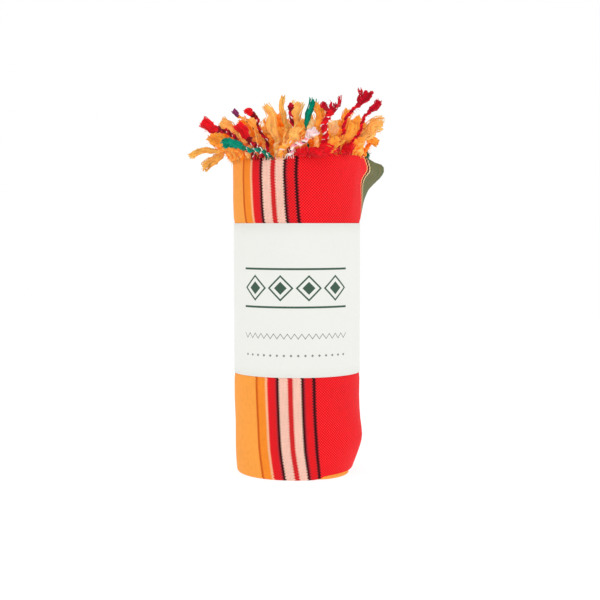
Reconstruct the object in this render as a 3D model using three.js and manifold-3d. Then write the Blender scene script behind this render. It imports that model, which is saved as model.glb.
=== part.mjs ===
// A kikoy, the striped cotton cloth of the East African coast, folded in six, rolled up and stood on
// its end, with a plain paper band round its middle and the twisted fringe fanning out at the top.
//
// Units are millimetres. +Z is up, the floor is z = 0 and the roll's axis is x = y = 0.
// The front looks towards -Y. Along the roll's outer surface a place is given by its arc length s,
// which is 0 at the front and grows to the right, towards the free end of the cloth.
//
// The cloth is 1 m wide and is folded in six along its length, so one turn of the roll is a packet
// of six layers. The outer pair of layers carries the fringe. The packet winds inwards as a spiral
// of about seven turns: the outermost turn is modelled as two walls, the rest as one rounded core.

import * as THREE from "three";
import { mergeVertices } from "three/addons/utils/BufferGeometryUtils.js";
import Module from "manifold-3d";

const wasm = await Module();
wasm.setup();

// ---------------------------------------------------------------- driving dimensions
const RIM_HEIGHT = 221; // top edge of the rolled cloth at the front
const FRONT_RADIUS = 44.05; // outer surface at the front, from the middle of the spiral
const PACKET = 6.3; // six folded layers with the air between them: one turn of the spiral
const FRINGED_PAIR = 2.0; // the outer two layers of the packet
const FOLDED_FOUR = 3.4; // the other four layers
const SEAM = 0.3; // gap between neighbouring pieces
const BACK_FLATTENING = 0.98; // the roll is a little less deep than it is wide

const FREE_END = 101; // arc length from the front to the free end, at the rim
const LEAN = 0.093; // the cloth is rolled askew: mm sideways for each mm down
const FOLDED_FOUR_EXTRA = 3.5; // how far the inner four layers reach past the outer pair
const CUT_ANGLE = THREE.MathUtils.degToRad(-268); // where the outermost turn gives way to the core
const CUT_GAP = 0.012; // radians between the turn's inner end and the core's step
const SPIRAL_X = -PACKET / 4; // the spiral's middle, set so that the roll is as wide left as right
const EVEN_FROM = 0.7; // share of the radius past which the roll's layers all shift alike

const FLAP_START = 44; // arc length at which the free end begins to peel off
const FLAP_RAMP = 8; // length over which it does so
const FLAP_STEPS = 24; // steps in which its curve is followed

const BAND_BASE = 71; // lower edge of the paper band
const BAND_HEIGHT = 105; // half the width of an A4 sheet
const BAND_PAPER = 0.5;

const FOUR_LOWERED = 3; // the folded layers' top edge lies this far below the fringed edge
const CORE_TOP = 219;
const CORE_EDGE_ROUND = 1.6;
const GROOVE_DEPTH = 5;
const GROOVE_WIDTH = 1.5;
const GROOVE_END_RADIUS = 9; // the middle of the core stays whole
const GROOVE_CHORD = 8; // length of one straight step along the spiral
const GROOVE_START = 0.12; // radians from the core's step to the groove
const PAST_END = 1; // how far a cut runs past the end of the core

const STRAND_PITCH = 6; // along the fringed edge, counting both layers of the pair
const STRAND_STAGGER = 0.3; // the two layers' strands stand this far either side of the middle
const STRIP_HEIGHT = 2.2; // narrow backing in which the strands are rooted
const STRIP_CHORD = 7; // length of one straight step along the strip
const STRIP_OVERHANG = 1.5; // how far the strip goes past its last strand
const CUT_CLEARANCE = 0.06; // radians kept free of roots either side of the cut
const STRAND_LENGTH = 45;
const STRAND_LENGTH_SPREAD = 4.5;
const ROOT_RADIUS = 0.5; // where the cord goes into the strip
const STRAND_RADIUS = 1.8; // the twisted cord
const BRUSH_RADIUS = 2.9; // the loose threads past the knot
const STRAND_GAP = 0.35; // least space between two strands
const COMB = { left: 0.6, right: 0.34, front: 0.22, back: 0.34 }; // how far a tip lies out, per mm of root
const RIGHT_LIMIT = 90; // the comb to the right fades towards this distance from the axis
const CLUMP = { push: 2.4, narrow: 5.4, wide: 8.1 }; // neighbouring strands lean together in clumps
const STRAY = 1.6; // what each strand then does by itself
const BEND_SHARE = 0.25; // how far towards its tip a strand has come where it bends over
const PARTING_ROUNDS = 80; // rounds in which touching strands are eased apart
const PUSH_SHARE = 0.9; // how much of an overlap one round takes out
const PLACED_FREEDOM = 0.25; // strands placed one by one give way this much less
const NEARLY_CROSSING = 0.2; // middle lines nearer than this count as this far apart
const STRAND_REACH = 60; // strands rooted further apart than this never meet
const FIRST_ROOT = 72; // arc length of the strand nearest the free end
const INNERMOST_ROOT = 5; // radius of the last strand's root

// ---------------------------------------------------------------- tables
// Rows of the outermost turn, from the floor up. z is the row's height at the front, round is how
// far the outer face is drawn in by the fold at the bottom edge, and flare straightens the free end:
// 0 lies on the roll and 1 leaves it as a straight flap.
const ROWS = [
  { z: 0, round: 0.9, flare: 0 },
  { z: 2, round: 0.2, flare: 0 },
  { z: 8, round: 0, flare: 0 },
  { z: 16, round: 0, flare: 0 },
  { z: 21, round: 0, flare: 0 },
  { z: 25, round: 0, flare: 0 },
  { z: 30, round: 0, flare: 0 },
  { z: 38, round: 0, flare: 0 },
  { z: 51, round: 0, flare: 0 },
  { z: 71, round: 0, flare: 0 },
  { z: 176, round: 0, flare: 0 },
  { z: 185, round: 0, flare: 0.2 },
  { z: 193, round: 0, flare: 0.28 },
  { z: 199, round: 0, flare: 0.38 },
  { z: 204, round: 0, flare: 0.48 },
  { z: 209, round: 0, flare: 0.57 },
  { z: 213.5, round: 0, flare: 0.7 },
  { z: 217.5, round: 0, flare: 0.82 },
  { z: 221, round: 0, flare: 0.86 },
];
const FOLDED_FOUR_ROWS = [0, 2, 8, 16, 21, 25, 30, 38, 51, 71, 176, 193, 204, 213.5, 219.5];
const FOLDED_FOUR_FLARE = 0.5; // how much of the pair's flare the other four layers share
const CORE_ENDS = { bottom: [0, CORE_EDGE_ROUND], top: [CORE_TOP - CORE_EDGE_ROUND, CORE_TOP] };
const CORE_ROWS = [...CORE_ENDS.bottom, 8, 16, 21, 25, 30, 38, 51, 71, 176, 193, ...CORE_ENDS.top];

// How far the roll's right and left sides stand out from the plain spiral, by height. The paper
// band holds the middle in, and at the floor the right side is tucked under.
const SIDES = [
  { z: 0, right: -5.5, left: -1.5 },
  { z: 8, right: -2.8, left: -0.9 },
  { z: 16, right: -0.1, left: -0.75 },
  { z: 21, right: 1.55, left: -0.75 },
  { z: 25, right: 2.4, left: -0.75 },
  { z: 30, right: 2.1, left: -0.75 },
  { z: 38, right: 1.05, left: -0.75 },
  { z: 51, right: 0.15, left: -0.1 },
  { z: 71, right: 0, left: 0 },
  { z: 176, right: 0, left: 0 },
  { z: 193, right: 1, left: 1 },
  { z: 221, right: 1, left: 1.2 },
];

// Height of the fringed edge above or below RIM_HEIGHT, and of the bottom edge above the floor,
// by arc length.
const EDGES = [
  { s: -215, rim: -3.2, base: 0 },
  { s: -100, rim: -3.0, base: 0 },
  { s: -45, rim: -1.8, base: 0 },
  { s: 0, rim: 0, base: 0 },
  { s: 35, rim: 2.0, base: 0.9 },
  { s: 60, rim: 1.6, base: 1.6 },
  { s: 84, rim: 0, base: 2.0 },
  { s: 96, rim: -2.6, base: 2.2 },
  { s: 101, rim: -6.5, base: 2.4 },
  { s: 125, rim: -6.5, base: 2.6 },
];

// Strands that lie across the front of the roll, placed one by one. turn 0 is the outermost turn.
// s is the root's arc length, x y z its tip, and rise how far it goes up before it bends over.
const PLACED = [
  { turn: 0, s: -58, x: -64, y: -26, z: 212.5, rise: 15 },
  { turn: 0, s: -50, x: -74, y: -22, z: 222, rise: 12 },
  { turn: 0, s: -40, x: -58, y: -46, z: 231, rise: 8 },
  { turn: 0, s: -28, x: -63, y: -46, z: 242, rise: 10 },
  { turn: 0, s: -19, x: -49, y: -54, z: 229, rise: 5 },
  { turn: 0, s: -13, x: 1, y: -56, z: 235, rise: 9 },
  { turn: 0, s: -8, x: 15, y: -59, z: 237.5, rise: 7 },
  { turn: 0, s: 9, x: 24, y: -53, z: 229, rise: 5 },
  { turn: 0, s: 18, x: 24, y: -42, z: 260, rise: 20 },
  { turn: 0, s: 32, x: 47.5, y: -35, z: 264, rise: 20 },
  { turn: 0, s: 43, x: 55.5, y: -25, z: 259.5, rise: 16 },
  { turn: 0, s: 55, x: 59, y: -12, z: 246, rise: 18 },
  { turn: 0, s: 66, x: 59, y: -1, z: 231, rise: 17 },
  { turn: 1, s: -40, x: -62, y: -34, z: 250, rise: 20 },
  { turn: 1, s: -31, x: -51, y: -36, z: 250, rise: 20 },
  { turn: 1, s: -22, x: -36, y: -34, z: 254, rise: 22 },
  { turn: 1, s: 35, x: 40, y: -38, z: 249, rise: 16 },
];

// ---------------------------------------------------------------- small helpers
const TURN = 2 * Math.PI;
const clamp01 = (x) => Math.min(1, Math.max(0, x));
const smooth = (x) => clamp01(x) ** 2 * (3 - 2 * clamp01(x));
const mix = (a, b, t) => a + (b - a) * t;

// Value of column `name` where column `key` is `at`, in a straight line between the table's rows.
function read(table, key, at, name) {
  const above = table.findIndex((row) => row[key] >= at);
  if (above === -1) return table.at(-1)[name];
  if (above === 0) return table[0][name];
  const [a, b] = [table[above - 1], table[above]];
  return mix(a[name], b[name], (at - a[key]) / (b[key] - a[key]));
}

const range = (count) => Array.from({ length: count }, (_, i) => i);

// ---------------------------------------------------------------- the spiral
const spiralRadius = (angle) => FRONT_RADIUS + (PACKET * angle) / TURN;
const angleOf = (s) => s / FRONT_RADIUS;
const spiralPoint = (angle, depth) => {
  const r = spiralRadius(angle) - depth;
  return [r * Math.sin(angle), -r * Math.cos(angle)];
};
const freeEndAt = (z) => FREE_END + LEAN * (RIM_HEIGHT - z);

// A point of the outermost turn at arc length s, `depth` below its outer face. Past FLAP_START the
// curve is followed in short steps whose turning is reduced by the flare, so its length is kept.
function turnPoint(s, depth, flare) {
  const start = angleOf(FLAP_START);
  const angle = angleOf(s);
  if (angle <= start || flare === 0) return spiralPoint(angle, depth);
  const step = (angle - start) / FLAP_STEPS;
  const drift = Math.atan(PACKET / TURN / spiralRadius(start));
  let [x, y] = spiralPoint(start, 0);
  let heading = start - drift;
  for (const i of range(FLAP_STEPS)) {
    const here = start + (i + 0.5) * step;
    const travelled = (here - start) * FRONT_RADIUS;
    const turning = step * (1 - flare * smooth(travelled / FLAP_RAMP));
    heading += turning / 2;
    x += Math.cos(heading) * spiralRadius(here) * step;
    y += Math.sin(heading) * spiralRadius(here) * step;
    heading += turning / 2;
  }
  const facing = heading + drift;
  return [x - depth * Math.sin(facing), y + depth * Math.cos(facing)];
}

// The whole roll's own unevenness, the same smooth shift for every layer at that place.
function settle(x, y, z) {
  const r = Math.max(Math.hypot(x, y), EVEN_FROM * FRONT_RADIUS);
  const right = read(SIDES, "z", z, "right") * (Math.max(0, x) / r) ** 2;
  const left = read(SIDES, "z", z, "left") * (Math.max(0, -x) / r) ** 2;
  return [SPIRAL_X + x + right - left, y * BACK_FLATTENING, z];
}

// ---------------------------------------------------------------- solids from grids of points
function geometryOf(vertices, triangles) {
  const g = new THREE.BufferGeometry();
  g.setAttribute("position", new THREE.BufferAttribute(new Float32Array(vertices.flat()), 3));
  g.setIndex(triangles.flat());
  return g;
}

// A closed wall between two grids of points, front[row][column] and back[row][column]. Rows go up
// and columns go round so that the front face looks outwards. A ring joins its last column to its
// first, and an open wall is closed by its two ends.
function wallGeometry(front, back, ring = false) {
  const rows = front.length;
  const columns = front[0].length;
  const vertices = [...front.flat(), ...back.flat()];
  const f = (r, c) => r * columns + (c % columns);
  const b = (r, c) => rows * columns + f(r, c);
  const triangles = [];
  const quad = (p, q, r, s) => triangles.push([p, q, r], [p, r, s]);
  const last = ring ? columns : columns - 1;
  for (const c of range(last)) {
    for (const r of range(rows - 1)) {
      quad(f(r, c), f(r, c + 1), f(r + 1, c + 1), f(r + 1, c));
      quad(b(r, c), b(r + 1, c), b(r + 1, c + 1), b(r, c + 1));
    }
    quad(f(0, c), b(0, c), b(0, c + 1), f(0, c + 1));
    quad(f(rows - 1, c), f(rows - 1, c + 1), b(rows - 1, c + 1), b(rows - 1, c));
  }
  if (!ring)
    for (const r of range(rows - 1)) {
      quad(f(r, 0), f(r + 1, 0), b(r + 1, 0), b(r, 0));
      quad(f(r, last), b(r, last), b(r + 1, last), f(r + 1, last));
    }
  return geometryOf(vertices, triangles);
}

// A closed tube through rings of points, with flat ends.
function tubeGeometry(rings) {
  const sides = rings[0].length;
  const triangles = [];
  for (const k of range(rings.length - 1))
    for (const i of range(sides)) {
      const j = (i + 1) % sides;
      const [a, b] = [k * sides, (k + 1) * sides];
      triangles.push([a + i, a + j, b + j], [a + i, b + j, b + i]);
    }
  const top = (rings.length - 1) * sides;
  for (const i of range(sides - 2)) {
    triangles.push([0, i + 2, i + 1]);
    triangles.push([top, top + i + 1, top + i + 2]);
  }
  return geometryOf(rings.flat(), triangles);
}

function solidOf(geometry) {
  const merged = mergeVertices(geometry);
  const mesh = new wasm.Mesh({
    numProp: 3,
    vertProperties: merged.attributes.position.array,
    triVerts: new Uint32Array(merged.index.array),
  });
  return new wasm.Manifold(mesh);
}

function geometryFrom(solid) {
  const { vertProperties, triVerts } = solid.getMesh();
  const g = new THREE.BufferGeometry();
  g.setAttribute("position", new THREE.BufferAttribute(vertProperties, 3));
  g.setIndex(new THREE.BufferAttribute(triVerts, 1));
  return g;
}

// ---------------------------------------------------------------- the outermost turn
const rimHeight = (s) => RIM_HEIGHT + read(EDGES, "s", s, "rim");
const baseHeight = (s) => read(EDGES, "s", s, "base");

// Height of a row at arc length s: rows over the band follow the rim and rows under it the base.
function rowHeight(z, s, top) {
  const bandTop = BAND_BASE + BAND_HEIGHT;
  if (z > bandTop) return mix(bandTop, top, (z - bandTop) / (RIM_HEIGHT - bandTop));
  if (z < BAND_BASE) return mix(baseHeight(s), BAND_BASE, z / BAND_BASE);
  return z;
}

// A wall of the outermost turn, from `outside` to `inside` below the outer face, over rows and
// evenly spaced columns. It reaches `extra` past the free end, takes `share` of the flap's flare,
// and its top edge is `lowered`.
function turnWall({ rows, columns, outside, inside, extra, share, lowered }) {
  const grid = (depthAt) =>
    rows.map((z) =>
      range(columns + 1).map((c) => {
        const s = mix(CUT_ANGLE * FRONT_RADIUS, freeEndAt(z) + extra, c / columns);
        const [x, y] = turnPoint(s, depthAt(z), share * read(ROWS, "z", z, "flare"));
        return settle(x, y, rowHeight(z, s, rimHeight(s) - lowered));
      }),
    );
  const face = grid((z) => outside + read(ROWS, "z", z, "round"));
  return wallGeometry(face, grid(() => inside));
}

const outerPair = () =>
  turnWall({
    rows: ROWS.map((row) => row.z),
    columns: 44,
    outside: 0,
    inside: FRINGED_PAIR,
    extra: 0,
    share: 1,
    lowered: 0,
  });

const foldedFour = () =>
  turnWall({
    rows: FOLDED_FOUR_ROWS,
    columns: 38,
    outside: FRINGED_PAIR + SEAM,
    inside: FRINGED_PAIR + SEAM + FOLDED_FOUR,
    extra: FOLDED_FOUR_EXTRA,
    share: FOLDED_FOUR_FLARE,
    lowered: FOUR_LOWERED,
  });

// ---------------------------------------------------------------- the core
const CORE_COLUMNS = 40;
function rolledCore() {
  const first = CUT_ANGLE - CUT_GAP;
  const rings = CORE_ROWS.map((z) => {
    const nearEnd = Math.min(z, CORE_TOP - z) / CORE_EDGE_ROUND;
    const inset = CORE_EDGE_ROUND * (1 - Math.sqrt(clamp01(nearEnd)));
    return range(CORE_COLUMNS + 1).map((c) => {
      const [x, y] = spiralPoint(mix(first - TURN, first, c / CORE_COLUMNS), inset);
      return settle(x, y, z);
    });
  });
  const topGroove = groove(CORE_TOP + PAST_END, CORE_TOP - GROOVE_DEPTH);
  const bottomGroove = groove(-PAST_END, GROOVE_DEPTH);
  return geometryFrom(solidOf(tubeGeometry(rings)).subtract(topGroove).subtract(bottomGroove));
}

// The gap between one turn and the next, as it opens at an end of the roll: a V swept along the
// spiral, wide at `mouth` and sharp at `floor`.
function groove(mouth, floor) {
  const rings = [];
  let angle = CUT_ANGLE - TURN - GROOVE_START;
  while (spiralRadius(angle) > GROOVE_END_RADIUS) {
    const at = (depth, z) => settle(...spiralPoint(angle, depth), z);
    const v = [at(-GROOVE_WIDTH / 2, mouth), at(0, floor), at(GROOVE_WIDTH / 2, mouth)];
    rings.push(mouth > floor ? v : v.reverse());
    angle -= GROOVE_CHORD / spiralRadius(angle);
  }
  return solidOf(tubeGeometry(rings));
}

// ---------------------------------------------------------------- the paper band
const BAND_COLUMNS = { bridge: 4, round: 46 };
const BAND_RINGS = 3;

// The band lies `out` above the cloth, and from the free end it runs straight down to the turn
// below, which it touches half a radian further on.
function bandRing(z, out) {
  const end = angleOf(freeEndAt(z));
  const high = spiralRadius(end) + out;
  const low = spiralRadius(end + 0.5 - TURN) + out;
  const bridge = Math.acos(low / high);
  const bridged = range(BAND_COLUMNS.bridge).map((i) => {
    const back = bridge * (1 - i / BAND_COLUMNS.bridge);
    return [low / Math.cos(back), end + bridge - back];
  });
  const lying = range(BAND_COLUMNS.round).map((i) => {
    const angle = mix(end + bridge - TURN, end, i / BAND_COLUMNS.round);
    return [spiralRadius(angle) + out, angle];
  });
  return [...bridged, ...lying].map(([r, a]) => settle(r * Math.sin(a), -r * Math.cos(a), z));
}

function paperBand() {
  const heights = range(BAND_RINGS).map((i) => BAND_BASE + (BAND_HEIGHT * i) / (BAND_RINGS - 1));
  const face = heights.map((z) => bandRing(z, SEAM + BAND_PAPER));
  const back = heights.map((z) => bandRing(z, SEAM));
  return wallGeometry(face, back, true);
}

// ---------------------------------------------------------------- the fringe
// A point over the fringed edge, `up` above the edge and `depth` below the outer face.
function edgePoint(angle, depth, up, outer) {
  if (!outer) return settle(...spiralPoint(angle, depth), CORE_TOP + up);
  const s = angle * FRONT_RADIUS;
  return settle(...turnPoint(s, depth, read(ROWS, "z", RIM_HEIGHT, "flare")), rimHeight(s) + up);
}

// Roots along both fringed edges, from the free end to the middle of the roll.
function strandRoots() {
  const roots = [];
  let angle = angleOf(FIRST_ROOT);
  while (spiralRadius(angle) > INNERMOST_ROOT) {
    if (Math.abs(angle - CUT_ANGLE) < CUT_CLEARANCE) angle = CUT_ANGLE - CUT_CLEARANCE;
    const outer = angle > CUT_ANGLE;
    const depth = FRINGED_PAIR / 2 + (roots.length % 2 ? STRAND_STAGGER : -STRAND_STAGGER);
    roots.push({ place: edgePoint(angle, depth, SEAM + STRIP_HEIGHT / 2, outer), outer, angle });
    angle -= STRAND_PITCH / spiralRadius(angle);
  }
  return roots;
}

// Repeatable numbers from -1 to 1.
const scatter = (n) => {
  const v = Math.sin(n * 12.9898) * 43758.5453;
  return 2 * (v - Math.floor(v)) - 1;
};

// How a strand falls, by where it is rooted: outwards all round, and most of all to the left.
function combed([x, y, z], n) {
  const clump = (a, b) =>
    CLUMP.push * (Math.sin(a / CLUMP.narrow) + Math.sin((a - b) / CLUMP.wide));
  const sideways = x < 0 ? COMB.left : COMB.right * (1 - x / RIGHT_LIMIT);
  const awayX = x * sideways + clump(y, x) + STRAY * scatter(n);
  const awayY = y * (y < 0 ? COMB.front : COMB.back) + clump(x, y) + STRAY * scatter(n + 0.5);
  const length = STRAND_LENGTH + STRAND_LENGTH_SPREAD * scatter(n + 0.25);
  const up = Math.sqrt(length ** 2 - awayX ** 2 - awayY ** 2);
  return { tip: [x + awayX, y + awayY, z + up], rise: up / 2 };
}

// A strand's middle line: up from its root, then over to its tip, as points of a quadratic curve.
const STRAND_POINTS = [0, 0.36, 0.72, 1];
const STRAND_RADII = [ROOT_RADIUS, STRAND_RADIUS, STRAND_RADIUS, BRUSH_RADIUS];
const curvePoint = ({ root, bend, tip }, t) =>
  root.map((r, i) => r * (1 - t) ** 2 + 2 * bend[i] * t * (1 - t) + tip[i] * t * t);

// The nearest points of segments p-q and r-s: the share m along the first, the share n along the
// second, and the vector from the second point to the first.
function nearest(p, q, r, s) {
  const dot = (a, b) => a[0] * b[0] + a[1] * b[1] + a[2] * b[2];
  const minus = (a, b) => [a[0] - b[0], a[1] - b[1], a[2] - b[2]];
  const [u, v, w] = [minus(q, p), minus(s, r), minus(p, r)];
  const [uu, uv, vv, uw, vw] = [dot(u, u), dot(u, v), dot(v, v), dot(u, w), dot(v, w)];
  const slant = uu * vv - uv * uv;
  const first = slant > 0 ? clamp01((uv * vw - vv * uw) / slant) : 0;
  const n = clamp01((uv * first + vw) / vv);
  const m = clamp01((uv * n - uw) / uu);
  const apart = [0, 1, 2].map((i) => w[i] + m * u[i] - n * v[i]);
  return { m, n, apart, distance: Math.hypot(...apart) };
}

// Where strands a and b come nearer than their radii and STRAND_GAP allow, each is pushed away.
function pushApart(a, b) {
  const segments = range(STRAND_POINTS.length - 1);
  for (const k of segments)
    for (const l of segments) {
      const hit = nearest(a.line[k], a.line[k + 1], b.line[l], b.line[l + 1]);
      const along = (list, i, part) => mix(list[i], list[i + 1], part);
      const radii = along(STRAND_RADII, k, hit.m) + along(STRAND_RADII, l, hit.n);
      const excess = radii + STRAND_GAP - hit.distance;
      if (excess <= 0) continue;
      const share = (PUSH_SHARE * excess) / Math.max(hit.distance, NEARLY_CROSSING);
      const push = hit.apart.map((v) => share * v);
      a.pushes.push({ at: along(STRAND_POINTS, k, hit.m), by: push.map((v) => v * a.freedom) });
      b.pushes.push({ at: along(STRAND_POINTS, l, hit.n), by: push.map((v) => -v * b.freedom) });
    }
}

// Strands that touch are eased apart by moving their tips and bends, and their roots stay.
function partStrands(strands) {
  for (let round = 0; round < PARTING_ROUNDS; round++) {
    for (const one of strands) {
      one.line = STRAND_POINTS.map((t) => curvePoint(one, t));
      one.pushes = [];
    }
    strands.forEach((a, i) => {
      for (const b of strands.slice(i + 1))
        if (Math.hypot(a.root[0] - b.root[0], a.root[1] - b.root[1]) < STRAND_REACH) pushApart(a, b);
    });
    for (const { pushes, tip, bend } of strands)
      for (const { at, by } of pushes)
        for (const axis of [0, 1, 2]) {
          tip[axis] += (by[axis] * at) / pushes.length;
          bend[axis] += (by[axis] * (1 - at)) / pushes.length;
        }
  }
}

function combStrands() {
  const strands = strandRoots().map(({ place, outer, angle }, n) => {
    const { tip, rise } = combed(place, n);
    const bend = [mix(place[0], tip[0], BEND_SHARE), mix(place[1], tip[1], BEND_SHARE), place[2] + rise];
    return { root: place, bend, tip, outer, angle, freedom: 1 };
  });
  for (const { turn, s, x, y, z, rise } of PLACED) {
    const miss = (one) => Math.abs(one.angle - (angleOf(s) - turn * TURN));
    const free = strands.filter((one) => one.freedom === 1);
    const found = free.reduce((a, b) => (miss(a) < miss(b) ? a : b));
    const [rootX, rootY, rootZ] = found.root;
    found.bend = [mix(rootX, x, BEND_SHARE), mix(rootY, y, BEND_SHARE), rootZ + rise];
    Object.assign(found, { tip: [x, y, z], freedom: PLACED_FREEDOM });
  }
  partStrands(strands);
  return strands;
}

// A three-sided strand: a cord that widens into a brush past its knot.
function strandGeometry(strand) {
  const sides = 3;
  const line = STRAND_POINTS.map((t) => new THREE.Vector3(...curvePoint(strand, t)));
  const rings = line.map((point, k) => {
    const along = new THREE.Vector3()
      .subVectors(line[Math.min(k + 1, line.length - 1)], line[Math.max(k - 1, 0)])
      .normalize();
    const across = new THREE.Vector3(0, 1, 0).cross(along).normalize();
    const other = new THREE.Vector3().crossVectors(along, across);
    return range(sides).map((i) => {
      const turn = (i * TURN) / sides + strand.angle;
      return point
        .clone()
        .addScaledVector(across, STRAND_RADII[k] * Math.cos(turn))
        .addScaledVector(other, STRAND_RADII[k] * Math.sin(turn))
        .toArray();
    });
  });
  return tubeGeometry(rings);
}

// The narrow strip that a fringe's strands are rooted in, on the cloth's own edge.
function stripGeometry(strands, outer) {
  const rooted = strands.map((one) => one.angle);
  const overhang = (angle, way) => angle + (way * STRIP_OVERHANG) / spiralRadius(angle);
  const last = overhang(Math.min(...rooted), -1);
  const angles = [];
  for (let a = overhang(Math.max(...rooted), 1); a > last; a -= STRIP_CHORD / spiralRadius(a))
    angles.unshift(a);
  angles.unshift(last);
  const grid = (depth) =>
    [0, STRIP_HEIGHT].map((up) => angles.map((angle) => edgePoint(angle, depth, SEAM + up, outer)));
  return wallGeometry(grid(0), grid(FRINGED_PAIR));
}

function fringe(strands, outer) {
  const own = strands.filter((one) => one.outer === outer);
  const solids = own.map((one) => solidOf(strandGeometry(one)));
  return geometryFrom(solids.reduce((all, one) => all.add(one), solidOf(stripGeometry(own, outer))));
}

// ---------------------------------------------------------------- the kikoy
const COTTON = { roughness: 0.9, metalness: 0 };
function piece(name, geometry, colour, finish = COTTON) {
  const mesh = new THREE.Mesh(geometry, new THREE.MeshStandardMaterial({ color: colour, ...finish }));
  mesh.name = name;
  return mesh;
}

const strands = combStrands();
const kikoy = new THREE.Group();
kikoy.add(
  piece("outer_cloth", outerPair(), 0xe6202c),
  piece("folded_layers", foldedFour(), 0xf59a3a),
  piece("rolled_core", rolledCore(), 0xf59a3a),
  piece("paper_band", paperBand(), 0xf2f1ed, { roughness: 0.75, metalness: 0 }),
  piece("fringe_outer", fringe(strands, true), 0xf2922c),
  piece("fringe_inner", fringe(strands, false), 0xf2922c),
);

export default kikoy;
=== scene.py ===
# %% [markdown]
# # A kikoy, folded, rolled up and held by a paper band
#
# A kikoy is the striped cotton wrap of the East African coast. This one is a little over 1 m wide. It
# has been folded in six along its length, rolled up from one selvedge to the other and stood on
# its end, so that the twisted fringe of both its ends comes out of the top. A strip of paper holds
# it shut.
#
# Everything here is worked out as numpy arrays, in millimetres, on top of the plain solids that
# the frame holds, and it is turned into metres when it becomes a mesh.

import math

import bpy
import numpy as np
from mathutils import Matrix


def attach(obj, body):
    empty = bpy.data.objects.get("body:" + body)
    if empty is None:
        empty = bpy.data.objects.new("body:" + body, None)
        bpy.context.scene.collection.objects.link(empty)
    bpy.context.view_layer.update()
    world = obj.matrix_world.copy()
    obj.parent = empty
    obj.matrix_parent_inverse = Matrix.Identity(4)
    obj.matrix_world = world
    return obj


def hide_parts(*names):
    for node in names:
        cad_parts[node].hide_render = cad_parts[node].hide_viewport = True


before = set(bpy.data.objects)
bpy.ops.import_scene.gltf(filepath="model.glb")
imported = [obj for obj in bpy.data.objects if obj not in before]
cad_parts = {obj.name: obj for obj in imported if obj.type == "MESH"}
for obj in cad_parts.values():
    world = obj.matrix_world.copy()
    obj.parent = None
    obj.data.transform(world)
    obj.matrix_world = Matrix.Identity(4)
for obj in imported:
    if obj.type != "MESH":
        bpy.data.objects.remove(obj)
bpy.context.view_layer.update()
MM = 0.001
TURN = 2 * math.pi
print("nodes in the frame:", ", ".join(sorted(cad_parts)))

# %% [markdown]
# ## Small tools for shapes
#
# A surface is an array of points, rows by columns by three. Some rows of numbers, read in straight
# lines between their entries, give the few sizes that change along the roll. Everything that is
# long and thin here, from a layer of cloth to a thread, is a closed outline carried along a line,
# so one function can give all of them their faces.


# %% Reading tables and smoothing steps
def smooth(x):
    """A step from 0 to 1 without corners: 3 x squared minus 2 x cubed, held at 0 and at 1."""
    x = np.clip(x, 0, 1)
    return x * x * (3 - 2 * x)


def read(table, at, column):
    """The table's column where its first one is `at`, in straight lines between the entries."""
    names = list(table)
    return np.interp(at, table[names[0]], table[column])


PLACE_STEP, SALT_STEP, SINE_HEIGHT = 12.9898, 78.233, 43758.5453


def scatter(count, salt):
    """`count` repeatable numbers from 0 to 1: the broken-off part of a large sine. The salt picks
    one of many such series."""
    sine = np.sin(np.arange(1, count + 1) * PLACE_STEP + salt * SALT_STEP)
    return np.modf(np.abs(sine * SINE_HEIGHT))[0]


TINY = 1e-12


def unit(vectors):
    """Vectors divided by their own lengths."""
    return vectors / np.maximum(np.linalg.norm(vectors, axis=-1, keepdims=True), TINY)


# %% Faces for outlines that are carried along a line
def sweep_faces(lines, rings, sides):
    """Quads between neighbouring rings of points, for arrays of lines x rings x sides points."""
    line = np.arange(lines)[:, None, None] * rings * sides
    ring = np.arange(rings - 1)[None, :, None] * sides
    side = np.arange(sides)[None, None, :]
    after = (side + 1) % sides
    near, far = line + ring, line + ring + sides
    quads = np.stack([near + side, near + after, far + after, far + side], axis=-1)
    return quads.reshape(-1, 4)


def end_faces(lines, rings, sides):
    """One flat face at each end of every line."""
    first = np.arange(lines)[:, None] * rings * sides + np.arange(sides)[None, :]
    return np.concatenate([first[:, ::-1], first + (rings - 1) * sides])


def build(name, parts, material):
    """One mesh object from parts: dicts of points in mm, faces, and a uv pair and a dye for each
    point. A part whose volume comes out negative has its faces turned round."""
    starts = np.cumsum([0] + [len(part["points"]) for part in parts])
    corners, totals = [], []
    for part, start in zip(parts, starts):
        turn = -1 if volume_of(part) < 0 else 1
        for faces in part["faces"]:
            corners.append((faces[:, ::turn] + start).ravel())
            totals.append(np.full(len(faces), faces.shape[1]))
    corners, totals = np.concatenate(corners), np.concatenate(totals)
    points = np.concatenate([part["points"] for part in parts]) * MM
    mesh = bpy.data.meshes.new(name)
    mesh.vertices.add(len(points))
    mesh.vertices.foreach_set("co", points.ravel())
    mesh.loops.add(len(corners))
    mesh.loops.foreach_set("vertex_index", corners)
    mesh.polygons.add(len(totals))
    mesh.polygons.foreach_set("loop_start", np.cumsum(totals) - totals)
    mesh.polygons.foreach_set("loop_total", totals)
    mesh.polygons.foreach_set("use_smooth", np.ones(len(totals), bool))
    uv = np.concatenate([part["uv"] for part in parts])
    mesh.uv_layers.new(name="cloth").data.foreach_set("uv", uv[corners].ravel())
    if "dye" in parts[0]:
        dye = np.concatenate([part["dye"] for part in parts])
        rgba = np.concatenate([dye, np.ones((len(dye), 1))], axis=1)
        mesh.color_attributes.new("dye", "FLOAT_COLOR", "POINT").data.foreach_set("color", rgba.ravel())
    mesh.update(calc_edges=True)
    mesh.materials.append(material)
    piece = bpy.data.objects.new(name, mesh)
    bpy.context.scene.collection.objects.link(piece)
    print(f"{name}: {len(points)} points, {int((totals - 2).sum())} triangles")
    return piece


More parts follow.
